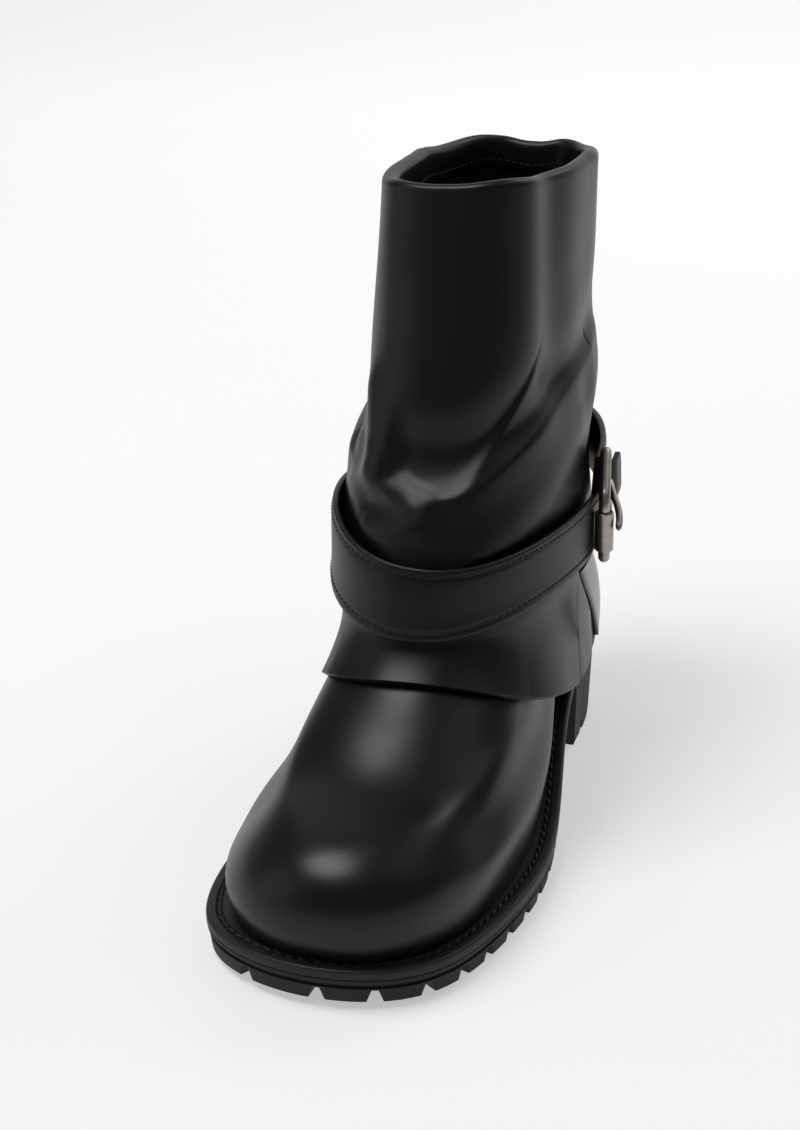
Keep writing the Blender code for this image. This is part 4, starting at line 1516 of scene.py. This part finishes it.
@dataclass
class StrapTail:
    """The strap's pointed end, hanging below the buckle and curling away from the skirt."""

    top: tuple[float, float, float] = (45.4, 45.0, 92.0)
    tip: tuple[float, float, float] = (49.3, 48.0, 60.0)
    thickness: float = 2.2
    rows: int = 60
    sides: int = 28
    corner: float = 0.55
    edge: float = 0.75
    curl: float = 1.2
    widths: tuple[tuple[float, float, float], ...] = (
        # share of the length, front reach and back reach
        (0.00, 12.0, 12.0),
        (0.18, 11.0, 12.5),
        (0.45, 8.0, 10.5),
        (0.70, 4.6, 7.0),
        (0.90, 1.9, 2.6),
        (1.00, 0.7, 0.7),
    )

    def build(self) -> list[bpy.types.Object]:
        """Tapered plate with rounded edges: a flat oval section carried from top to tip.

        Returns:
            The tail.
        """
        share = np.linspace(0.0, 1.0, self.rows)
        table = np.array(self.widths)
        reach = spline(table[:, 0], table[:, 1:], share)
        spine = np.array(self.top) + (np.array(self.tip) - np.array(self.top)) * share[:, None]
        spine[:, 0] += self.curl * np.sin(math.pi * share) - 0.5 * self.thickness
        turn = np.linspace(0.0, TURN, self.sides, endpoint=False)
        across = power(np.cos(turn), self.corner)[:, None]
        out = 0.5 * self.thickness * power(np.sin(turn), self.edge)[:, None]
        y = np.where(across < 0.0, across * reach[:, 0], across * reach[:, 1])
        grid = np.stack(np.broadcast_arrays(spine[:, 0] + out, spine[:, 1] + y, spine[:, 2] + 0.0 * y), -1)
        patch = Patch(grid, close_columns=False)
        return [make_piece("strap_tail_leather", patch, TAIL_LEATHER, ("strap_tail",))]


@dataclass
class Buckle:
    """Roller buckle: its bar loop, the roller, the prong, and the leather fold that holds its back bar."""

    bar: float = 2.2
    roller: float = 3.6
    clearance: float = 0.3
    corner: float = 4.5
    facing: tuple[float, float, float] = (1.0, 0.02, 0.03)
    roller_end: float = 5.1
    seam_turn: float = 2.2
    seam_depth: float = 0.07
    seam_width: float = 0.07
    corners: tuple[tuple[float, float, float], ...] = (
        # roller low, roller high, back high, back low
        (51.0, 47.0, 91.5),
        (51.2, 46.0, 117.5),
        (47.5, 67.0, 131.5),
        (47.5, 71.0, 105.5),
    )
    prong_radius: float = 1.6
    prong_path: tuple[tuple[float, float, float], ...] = (
        (49.0, 66.1, 118.3),
        (50.6, 62.0, 116.9),
        (53.4, 57.0, 113.6),
        (56.3, 50.0, 109.0),
        (56.9, 44.5, 106.0),
    )
    fold_gap: float = 0.25
    fold_wall: float = 2.1
    fold_reach: float = 7.0
    fold_end: float = 0.5
    fold_pinch: float = 0.06

    def loop(self) -> Array:
        """Closed path through the corners, each turned by a quadratic curve, with points along the bars.

        Returns:
            Points of the loop's middle line.
        """
        points = np.array(self.corners)
        before, after = np.roll(points, 1, 0) - points, np.roll(points, -1, 0) - points
        start = points + unit(before) * self.corner
        end = points + unit(after) * self.corner
        share = np.linspace(0.0, 1.0, 14)[None, :, None]
        arcs = ((1 - share) ** 2 * start[:, None] + 2 * share * (1 - share) * points[:, None]
                + share**2 * end[:, None])
        step = np.linspace(0.0, 1.0, 14)[None, 1:-1, None]
        bars = end[:, None] + (np.roll(start, -1, 0) - end)[:, None] * step
        return np.concatenate([arcs, bars], 1).reshape(-1, 3)

    def tube(self, path: Array, radius: Array | float, sides: int, closed: bool, flat: float = 1.0) -> Array:
        """Round bar along a path: a circle, or an oval by flat, carried square to the path.

        Args:
            path: Points of the middle line.
            radius: Radius of the bar, or one for each point.
            sides: Points round the section.
            closed: Whether the path is a loop.
            flat: Thickness of the section beside its width.

        Returns:
            Grid with a row for each place round the section.
        """
        run = np.roll(path, -1, 0) - np.roll(path, 1, 0) if closed else np.gradient(path, axis=0)
        run = unit(run)
        side = unit(np.cross(run, np.array(self.facing)))
        out = np.cross(run, side)
        turn = np.linspace(0.0, TURN, sides, endpoint=False)[:, None, None]
        radius = np.broadcast_to(radius, (len(path),))[:, None]
        return path + radius * (np.cos(turn) * side + flat * np.sin(turn) * out)

    def build(self) -> list[bpy.types.Object]:
        """Frame, roller, prong and leather fold.

        Returns:
            The four pieces.
        """
        loop = self.loop()
        frame = Patch(self.tube(loop, self.bar, 20, True))
        pieces = [make_piece("buckle_bar_loop", frame, BUCKLE_NICKEL, ("buckle_frame",))]
        pieces.append(self.build_roller())
        pieces.append(self.build_prong())
        pieces.append(self.build_fold())
        return pieces

    def build_roller(self) -> bpy.types.Object:
        """Rolled sheet tube on the front bar: a lipped wall turned about the bar, open along a fine seam.

        Returns:
            The roller.
        """
        low, high = np.array(self.corners[0]), np.array(self.corners[1])
        axis = unit(high - low)
        length = float(np.linalg.norm(high - low)) - 2.0 * self.roller_end
        first = low + axis * self.roller_end
        inner = self.bar + self.clearance
        profile = np.array([
            # share of the length and radius, round the wall
            (0.000, inner), (0.000, self.roller - 0.35), (0.020, self.roller - 0.05), (0.060, self.roller),
            (0.300, self.roller), (0.500, self.roller), (0.700, self.roller), (0.940, self.roller),
            (0.980, self.roller - 0.05), (1.000, self.roller - 0.35), (1.000, inner), (0.500, inner),
        ])
        turn = np.linspace(0.0, TURN, 72, endpoint=False)
        seam = 1.0 - self.seam_depth * bell(wrapped(turn - self.seam_turn, TURN), self.seam_width)
        side = unit(np.cross(axis, np.array(self.facing)))
        out = np.cross(axis, side)
        around = np.cos(turn)[:, None] * side + np.sin(turn)[:, None] * out
        radius = np.where(profile[:, 1:] > inner, profile[:, 1:] * seam, profile[:, 1:])
        grid = first + profile[:, :1, None] * length * axis + radius[..., None] * around
        return make_piece("buckle_roller_tube", Patch(grid), BUCKLE_NICKEL, ("buckle_roller",))

    def build_prong(self) -> bpy.types.Object:
        """Prong: a bar along a smooth curve that swells at the root and flattens towards a round tip.

        Returns:
            The prong.
        """
        knots = np.array(self.prong_path)
        run = lengths(knots)
        at = np.linspace(0.0, run[-1], 48)
        path = spline(run, knots, at)
        share = at / run[-1]
        tip = np.sqrt(np.clip(1.0 - np.clip((share - 0.9) / 0.1, 0.0, 0.98) ** 2, 0.0, 1.0))
        radius = self.prong_radius * (1.0 + 0.25 * bell(share, 0.18)) * tip
        patch = Patch(self.tube(path, radius, 16, False, 0.85), close_columns=False)
        return make_piece("buckle_tongue", patch, BUCKLE_NICKEL, ("buckle_prong",))

    def build_fold(self) -> bpy.types.Object:
        """Leather fold round the back bar: a U-shaped wall along the bar, its legs towards the heel.

        Returns:
            The fold.
        """
        high, low = np.array(self.corners[2]), np.array(self.corners[3])
        axis = unit(high - low)
        back = unit(np.cross(axis, np.array([1.0, 0.0, 0.0])))
        back = back if back[1] > 0.0 else -back
        side = np.cross(axis, back)
        turn = np.linspace(-0.5 * math.pi, 0.5 * math.pi, 15)
        inner = self.bar + self.fold_gap
        outer = inner + self.fold_wall
        legs = np.array([(self.fold_reach, 1.0), (0.6 * self.fold_reach, 1.0), (0.2 * self.fold_reach, 1.0)])

        def half(radius: float) -> Array:
            """U-shaped line at a radius from the bar: a leg, a half circle and the other leg.

            Args:
                radius: Distance from the bar's middle.

            Returns:
                Points towards the heel and across.
            """
            arc = np.column_stack([-np.cos(turn), -np.sin(turn)]) * radius
            first = legs * (1.0, radius)
            second = first[::-1] * (1.0, -1.0)
            return np.concatenate([first, arc, second])

        section = np.concatenate([half(outer), half(inner)[::-1]])
        length = float(np.linalg.norm(high - low)) - 2.0 * (self.corner + self.fold_end)
        share = np.linspace(0.0, 1.0, 26)
        pinch = (1.0 - self.fold_pinch * np.abs(2.0 * share - 1.0) ** 6)[None, :, None]
        start = low + axis * (self.corner + self.fold_end)
        grid = (start + (share * length)[None, :, None] * axis
                + section[:, None, :1] * back * pinch + section[:, None, 1:] * side * pinch)
        patch = Patch(grid, close_columns=False)
        return make_piece("strap_fold", patch, STRAP_LEATHER)


@dataclass
class Welt:
    """Flat welt ledge with a chamfered edge, a sewing groove and rope-like stitches."""

    sole: SoleForm
    columns: int = 420
    profile: tuple[tuple[float, float], ...] = (
        # inset and height below the upper face
        (0.00, -3.30), (0.00, -2.10), (0.00, -0.95), (0.12, -0.55), (0.45, -0.18), (1.00, 0.00), (2.60, 0.02),
        (3.30, 0.00), (3.70, -0.55), (4.60, -0.75), (5.50, -0.55), (5.90, 0.00), (8.00, 0.03), (15.0, 0.00),
        (15.0, -3.30),
    )
    inner_turns: tuple[float, float] = (0.30, 2.80)
    inner_inset: float = 10.0
    stitch_inset: float = 4.6
    stitch_sink: float = 0.55
    stitch: StitchRow = field(
        default_factory=lambda: StitchRow(pitch=4.6, length=4.6, radius=0.72, slant=0.22, sides=8))

    def build(self) -> list[bpy.types.Object]:
        """Profile carried round the outline, and its stitches.

        Returns:
            The welt and its stitches.
        """
        turn = self.sole.even_turns(self.columns)
        low, high = self.inner_turns
        half_turn = np.minimum(turn, TURN - turn)
        kept = np.clip(half_turn, low, high)
        inner = np.where(turn <= math.pi, kept, TURN - kept)
        rings = [self.sole.ring(inner if inset > self.inner_inset else turn, inset,
                                lambda y, h=height: self.sole.welt_top(y) + h)
                 for inset, height in self.profile]
        piece = make_piece("welt_ledge", Patch(np.array(rings)), WELT_RUBBER, ("welt",))
        line = self.sole.ring(np.append(turn, TURN), self.stitch_inset,
                              lambda y: self.sole.welt_top(y) - self.stitch_sink)
        outward = np.broadcast_to(np.array([0.0, 0.0, 1.0]), line.shape)
        return [piece, self.stitch.build("welt_stitches", line, outward, BLACK_THREAD, Slot.WELT)]


@dataclass
class Tread:
    """Notches round a sole edge and the columns that carry them."""

    sole: SoleForm
    centres: tuple[tuple[float, ...], tuple[float, ...]]
    depth: float = 4.6
    half_low: float = 3.0
    half_high: float = 1.2
    least_step: float = 2e-4

    def columns(self, first: float, last: float, even: int, extra: tuple[float, ...] = ()) -> Array:
        """Half turns for both sides: even ones, and close ones at the walls of every notch.

        Args:
            first: First half turn.
            last: Last half turn.
            even: Number of even ones.
            extra: Further half turns.

        Returns:
            Half turns, rising.
        """
        fine = np.linspace(first, last, 1201)
        marks = [np.linspace(first, last, even), np.array(extra)]
        wall = (0.0, self.half_high - 0.12, self.half_high + 0.05, self.half_low - 0.05, self.half_low + 0.2)
        for side in Side:
            turn = fine if side is Side.LATERAL else TURN - fine
            run = np.abs(self.sole.girth(turn))
            for centre in self.centres[side.value]:
                middle = np.interp(centre, fine, run)
                places = np.abs(middle + np.array([sign * step for step in wall for sign in (-1.0, 1.0)]))
                order = np.argsort(run)
                marks.append(np.interp(places, run[order], fine[order]))
        joined = np.unique(np.clip(np.concatenate(marks), first, last))
        return joined[np.concatenate([[True], np.diff(joined) > self.least_step])]

    def roof(self, turn: Array) -> Array:
        """Height of the notches' roof: full depth between the walls, falling straight off on the lugs.

        Args:
            turn: Turns of the outline.

        Returns:
            Heights above the tread.
        """
        run = self.sole.girth(turn)
        rise = np.zeros(turn.shape)
        for side in Side:
            for centre in self.centres[side.value]:
                middle = self.sole.girth(np.array(centre if side is Side.LATERAL else TURN - centre))
                apart = np.abs(run - middle)
                apart = np.minimum(apart, self.sole.girth(np.array(TURN)) - apart)
                share = (self.half_low - apart) / (self.half_low - self.half_high)
                rise = np.maximum(rise, self.depth * np.clip(share, 0.0, 1.0))
        return rise


@dataclass
class Outsole:
    """Lugged outsole with its step, side rib and toe spring."""

    sole: SoleForm
    taper: float = 1.5
    notches: tuple[tuple[float, ...], tuple[float, ...]] = (
        # turns of the outline from the toe: lateral side, medial side
        (0.02, 0.24, 0.47, 0.66, 0.81, 0.95, 1.07, 1.18, 1.30, 1.42, 1.54),
        (0.29, 0.61, 0.81, 0.95, 1.07, 1.18, 1.30, 1.42),
    )
    notch_length: float = 12.0
    field_inset: float = 16.0
    field_depth: float = 4.3
    field_ends: tuple[float, float] = (-116.0, -24.0)
    field_slope: float = 1.5
    side: tuple[tuple[float, float], ...] = (
        # share of the height and inset from the outline
        (0.04, 1.42), (0.28, 1.12), (0.50, 0.88), (0.60, 0.76), (0.625, 0.86), (0.655, 1.50), (0.68, 1.62),
        (0.76, 1.62), (0.785, 1.45), (0.825, 0.32), (0.85, 0.20), (0.96, 0.20), (1.00, 0.45),
    )
    notch_share: float = 0.56
    blocks: tuple[tuple[float, float], ...] = (
        (-12.0, -98.0), (-26.0, -78.0), (2.0, -78.0), (-12.0, -58.0), (-26.0, -38.0), (2.0, -38.0),
    )
    block_size: tuple[float, float] = (20.0, 14.0)

    def build(self) -> list[bpy.types.Object]:
        """Rings from the middle of the tread out to the edge, up the side and in along the top.

        Returns:
            The outsole and its blocks.
        """
        sole, tread = self.sole, Tread(self.sole, self.notches)
        waist = (-0.1, 0.8, 2.2, sole.tread_step)
        steps = tuple(sole.turn_at(y) for y in (*(sole.tread_end + step for step in waist), *self.field_ends))
        half = tread.columns(sole.tip, math.pi - sole.tip, 230, steps)
        turn = np.concatenate([half, TURN - half[::-1]])
        roof = tread.roof(turn)
        rings = []

        for inset, sunk, notch in (
            # inset, share of the sunk field and share of the notches' roof
            (self.field_inset + 6.0, 1.0, 0.0),
            (self.field_inset + 0.5, 1.0, 0.0),
            (self.field_inset, 0.0, 0.0),
            (self.notch_length + 0.6, 0.0, 0.0),
            (self.notch_length, 0.0, 1.0),
            (0.5 * self.notch_length, 0.0, 1.0),
            (self.taper + 0.45, 0.0, 1.0),
        ):
            ring = sole.ring(turn, inset, sole.outsole_under)
            inside = (ease((ring[:, 1] - self.field_ends[0]) / self.field_slope)
                      * ease((self.field_ends[1] - ring[:, 1]) / self.field_slope))
            ring[:, 2] += np.maximum(sunk * self.field_depth * inside, notch * roof)
            rings.append(ring)
        for share, inset in self.side:
            ring = sole.ring(turn, inset, sole.outsole_under)
            low = ring[:, 2]
            top = sole.outsole_top(ring[:, 1])
            height = low + (top - low) * share
            if share < self.notch_share:
                floor = low + roof
                squeezed = low + (top - low) * self.notch_share
                height = floor + (np.maximum(squeezed, floor + 0.1) - floor) * share / self.notch_share
            ring[:, 2] = height
            rings.append(ring)
        rings.append(sole.ring(turn, 3.0, sole.outsole_top))
        rings.append(sole.ring(turn, 20.0, sole.outsole_top))
        patch = Patch(np.array(rings), close_rows=False, ladder=True)
        piece = make_piece("lugged_outsole", patch, SOLE_RUBBER, ("outsole",), sharp=MOULDED_SHARP)
        return [piece, self.build_blocks()]

    def build_blocks(self) -> bpy.types.Object:
        """Diamond blocks in the sunk field, each a ring of corners drawn in towards its foot.

        Returns:
            The blocks.
        """
        width, length = self.block_size
        corner = np.array([(-0.5, 0.0), (0.0, -0.5), (0.5, 0.0), (0.0, 0.5)]) * (width, length)
        middle = np.array(self.blocks)
        size = np.array([0.90, 1.0, 1.06])
        plan = middle[:, None, None] + corner[None, None] * size[None, :, None, None]
        spring = self.sole.spring(middle[:, 1])
        height = spring[:, None] + np.array([0.1, 0.6, self.field_depth + 0.6])
        points = np.concatenate([plan, np.broadcast_to(height[:, :, None, None], (*plan.shape[:3], 1))], -1)
        first = np.arange(len(middle))[:, None, None] * 12
        quads = np.concatenate([quad_faces(3, 4, False, True), [(3, 2, 1, 0), (8, 9, 10, 11)]])
        if enclosed(points[0].reshape(-1, 3), quads) < 0.0:
            quads = quads[:, ::-1]
        faces = (quads[None] + first).reshape(-1, 4)
        return put_mesh("tread_blocks", placed(points), faces.tolist(), SOLE_RUBBER)


@dataclass
class Heel:
    """Block heel with a leaning breast and notched lugs round its foot."""

    sole: SoleForm
    breast: float = 63.0
    lean: float = 4.0
    lean_depth: float = 6.0
    top_inset: float = 1.2
    foot_inset: float = 2.8
    notches: tuple[float, ...] = (2.19, 2.36, 2.53, 2.72, 2.95)
    notch_length: float = 12.0
    shares: tuple[float, ...] = (0.02, 0.08, 0.16, 0.22, 0.35, 0.55, 0.75, 0.94, 1.0)
    notch_share: float = 0.24

    def build(self) -> list[bpy.types.Object]:
        """Rings from the middle of the foot out to its edge and up the side.

        Returns:
            The heel.
        """
        sole = self.sole
        tread = Tread(sole, (self.notches, self.notches))
        half = tread.columns(sole.turn_at(self.breast + self.lean), math.pi - sole.tip, 90)
        turn = np.concatenate([half, TURN - half[::-1]])
        roof = tread.roof(turn)
        rings = []
        for inset, notch in (
            (self.notch_length + 3.0, 0.0),
            (self.notch_length + 0.6, 0.0),
            (self.notch_length, 1.0),
            (0.5 * self.notch_length, 1.0),
            (self.foot_inset + 0.45, 1.0),
        ):
            ring = sole.ring(turn, inset, np.zeros_like)
            ring[:, 2] = notch * roof
            rings.append(ring)
        for share in self.shares:
            edge = 0.3 * bell(share, 0.03) + 0.25 * bell(share - 1.0, 0.02)
            inset = self.foot_inset + (self.top_inset - self.foot_inset) * share + edge
            ring = sole.ring(turn, inset, np.zeros_like)
            behind = ring[:, 1] - self.breast - self.lean
            front = np.clip((self.lean_depth - behind) / self.lean_depth, 0.0, 1.0)
            ring[:, 1] -= self.lean * share * front
            top = sole.outsole_under(ring[:, 1]) - sole.gap
            height = top * share
            if share < self.notch_share:
                squeezed = np.maximum(top * self.notch_share, roof + 0.1)
                height = roof + (squeezed - roof) * share / self.notch_share
            ring[:, 2] = height
            rings.append(ring)
        patch = Patch(np.array(rings), close_rows=False, ladder=True)
        return [make_piece("block_heel", patch, SOLE_RUBBER, ("heel",), sharp=MOULDED_SHARP)]


@dataclass
class Insole:
    """Insole plate inside the upper with a core that fills the welt's opening."""

    form: LastForm
    columns: int = 160
    core: float = 19.0
    bed: float = 1.0
    thickness: float = 2.8
    clearance: float = 0.5

    def ring(self, inset: float, height: Callable[[Array], Array]) -> Array:
        """Feather edge moved in by an inset, as a lateral run and a medial run back.

        Args:
            inset: Distance inwards.
            height: Height as a function of y.

        Returns:
            Points of the ring.
        """
        half = np.linspace(0.02, math.pi - 0.02, self.columns // 2)
        angle = np.concatenate([half, TURN - half[::-1]])
        level = np.zeros_like(angle)
        run = self.form.foot(level, angle + STEP) - self.form.foot(level, angle - STEP)
        outward = unit(np.column_stack([run[:, 1], -run[:, 0]]))
        plan = self.form.foot(level, angle)[:, :2] - outward * inset
        return np.column_stack([plan, height(plan[:, 1])])

    def build(self) -> list[bpy.types.Object]:
        """Core, flange and a top with a rounded edge and a shallow bed.

        Returns:
            The insole.
        """
        sole = self.form.sole
        flange = self.form.wall + self.clearance
        low = self.bed
        high = self.bed + self.thickness
        rings = [self.ring(self.core, lambda y: sole.outsole_top(y) + low)]
        for inset, rise in (
            (self.core, low),
            (flange, low),
            (flange, high - 0.9),
            (flange + 0.3, high - 0.3),
            (flange + 1.0, high),
            (flange + 8.0, high - 0.1),
            (flange + 16.0, high - 0.5),
        ):
            rings.append(self.ring(inset, lambda y, r=rise: sole.welt_top(y) + r))
        patch = Patch(np.array(rings), close_rows=False, ladder=True)
        return [make_piece("insole_plate", patch, LINING_LEATHER, ("insole",))]


@dataclass(frozen=True)
class Lamp:
    """A soft rectangular studio lamp."""

    name: str
    place: tuple[float, float, float]
    target: tuple[float, float, float]
    size: tuple[float, float]
    power: float
    colour: Colour = (1.0, 1.0, 1.0)

    def build(self) -> bpy.types.Object:
        """Area lamp aimed at its target.

        Returns:
            The lamp.
        """
        light = bpy.data.lights.new(self.name, "AREA")
        light.shape = "RECTANGLE"
        light.size, light.size_y = self.size
        light.energy = self.power
        light.color = self.colour
        item = bpy.data.objects.new(self.name, light)
        item.location = self.place
        aim = Vector(self.target) - Vector(self.place)
        item.rotation_euler = aim.to_track_quat("-Z", "Y").to_euler()
        bpy.context.scene.collection.objects.link(item)
        return item


@dataclass
class Studio:
    """Pale seamless floor, soft lamps and the camera at the photograph's angle."""

    eye: tuple[float, float, float] = (176.5, -629.2, 365.2)
    yaw: float = 19.86
    pitch: float = 20.34
    roll: float = -2.32
    lens: float = 60.0
    sensor: float = 36.0
    shift: tuple[float, float] = (0.076, -0.040)
    ambient: float = 0.19
    gamma: float = 0.88
    lamps: tuple[Lamp, ...] = field(default_factory=lambda: (
        Lamp("softbox", (-0.52, -0.36, 1.85), (0.0, -0.05, 0.1), (0.95, 0.80), 19.0, (0.95, 0.98, 1.0)),
        Lamp("left_wall", (-2.2, -1.1, 0.95), (0.0, 0.0, 0.15), (2.4, 1.7), 7.5, (0.96, 0.98, 1.0)),
        Lamp("right_top", (1.3, 0.15, 1.9), (0.0, 0.0, 0.12), (1.2, 1.2), 2.6, (1.0, 0.97, 0.94)),
        Lamp("rim", (0.78, 1.35, 1.55), (0.0, 0.0, 0.12), (0.7, 0.7), 4.5, (1.0, 0.98, 0.96)),
        Lamp("backdrop", (0.0, 1.6, 2.2), (0.0, 3.6, 0.3), (4.5, 0.5), 46.0),
    ))

    def build(self) -> None:
        """Floor, lamps, ambient light and camera."""
        self.build_floor()
        for lamp in self.lamps:
            lamp.build()
        world = bpy.data.worlds.new("studio")
        world.use_nodes = True
        background = world.node_tree.nodes["Background"]
        background.inputs["Color"].default_value = (0.94, 0.96, 1.0, 1.0)
        background.inputs["Strength"].default_value = self.ambient
        bpy.context.scene.world = world
        bpy.context.scene.view_settings.view_transform = "Standard"
        bpy.context.scene.view_settings.gamma = self.gamma
        self.build_camera()

    def build_floor(self) -> None:
        """Seamless floor: a straight run that turns up through a quarter circle behind the boot."""
        turn = np.linspace(0.0, 0.5 * math.pi, 24)
        radius, back, front, rise, half = 3.0, 2.2, -0.8, 1.0, 5.0
        y = np.concatenate([[front, -0.3, 0.0, 1.0], back + radius * np.sin(turn), [back + radius]])
        z = np.concatenate([np.zeros(4), radius - radius * np.cos(turn), [rise + radius]])
        x = np.linspace(-half, half, 9)
        grid = np.stack(np.broadcast_arrays(x[None, :], y[:, None], z[:, None]), -1)
        mesh = bpy.data.meshes.new("floor")
        quads = quad_faces(len(y), len(x), False, False)
        mesh.from_pydata(grid.reshape(-1, 3).tolist(), [], quads.tolist())
        mesh.materials.append(STUDIO_PAPER.material())
        mesh.shade_smooth()
        item = bpy.data.objects.new("floor", mesh)
        bpy.context.scene.collection.objects.link(item)

    def build_camera(self) -> None:
        """Camera turned by yaw, pitched down and rolled, at the photograph's place beside the boot."""
        yaw, pitch, roll = (math.radians(turn) for turn in (self.yaw, self.pitch, self.roll))
        ahead = math.cos(pitch)
        forward = Vector((-math.sin(yaw) * ahead, math.cos(yaw) * ahead, -math.sin(pitch)))
        level = Vector((math.cos(yaw), math.sin(yaw), 0.0))
        above = level.cross(forward)
        right = level * math.cos(roll) + above * math.sin(roll)
        up = above * math.cos(roll) - level * math.sin(roll)
        data = bpy.data.cameras.new("camera")
        data.lens = self.lens
        data.sensor_width = self.sensor
        data.shift_x, data.shift_y = self.shift
        camera = bpy.data.objects.new("camera", data)
        turned = Matrix((right, up, -forward)).transposed().to_4x4()
        camera.matrix_world = Matrix.Translation(Vector((np.array(self.eye) + LAST_TO_BOOT) * MM)) @ turned
        bpy.context.scene.collection.objects.link(camera)
        bpy.context.scene.camera = camera


def main() -> None:
    """Build every piece of the boot, then the studio."""
    logging.basicConfig(level=logging.INFO, format="%(name)s: %(message)s")
    for item in list(bpy.data.objects):
        bpy.data.objects.remove(item, do_unlink=True)
    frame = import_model()
    LOG.info("solids: %s", ", ".join(sorted(frame["nodes"])))
    sole = SoleForm()
    form = LastForm(sole)
    slouch = Slouch(form)
    for part in (Upper(form, slouch), Shaft(form, slouch), Strap(form), StrapTail(), Buckle(), Welt(sole),
                 Outsole(sole), Heel(sole), Insole(form)):
        for piece in part.build():
            LOG.info("%s dressed by %s", piece.name, type(part).__name__)
    Studio().build()


if __name__ == "__main__":
    main()
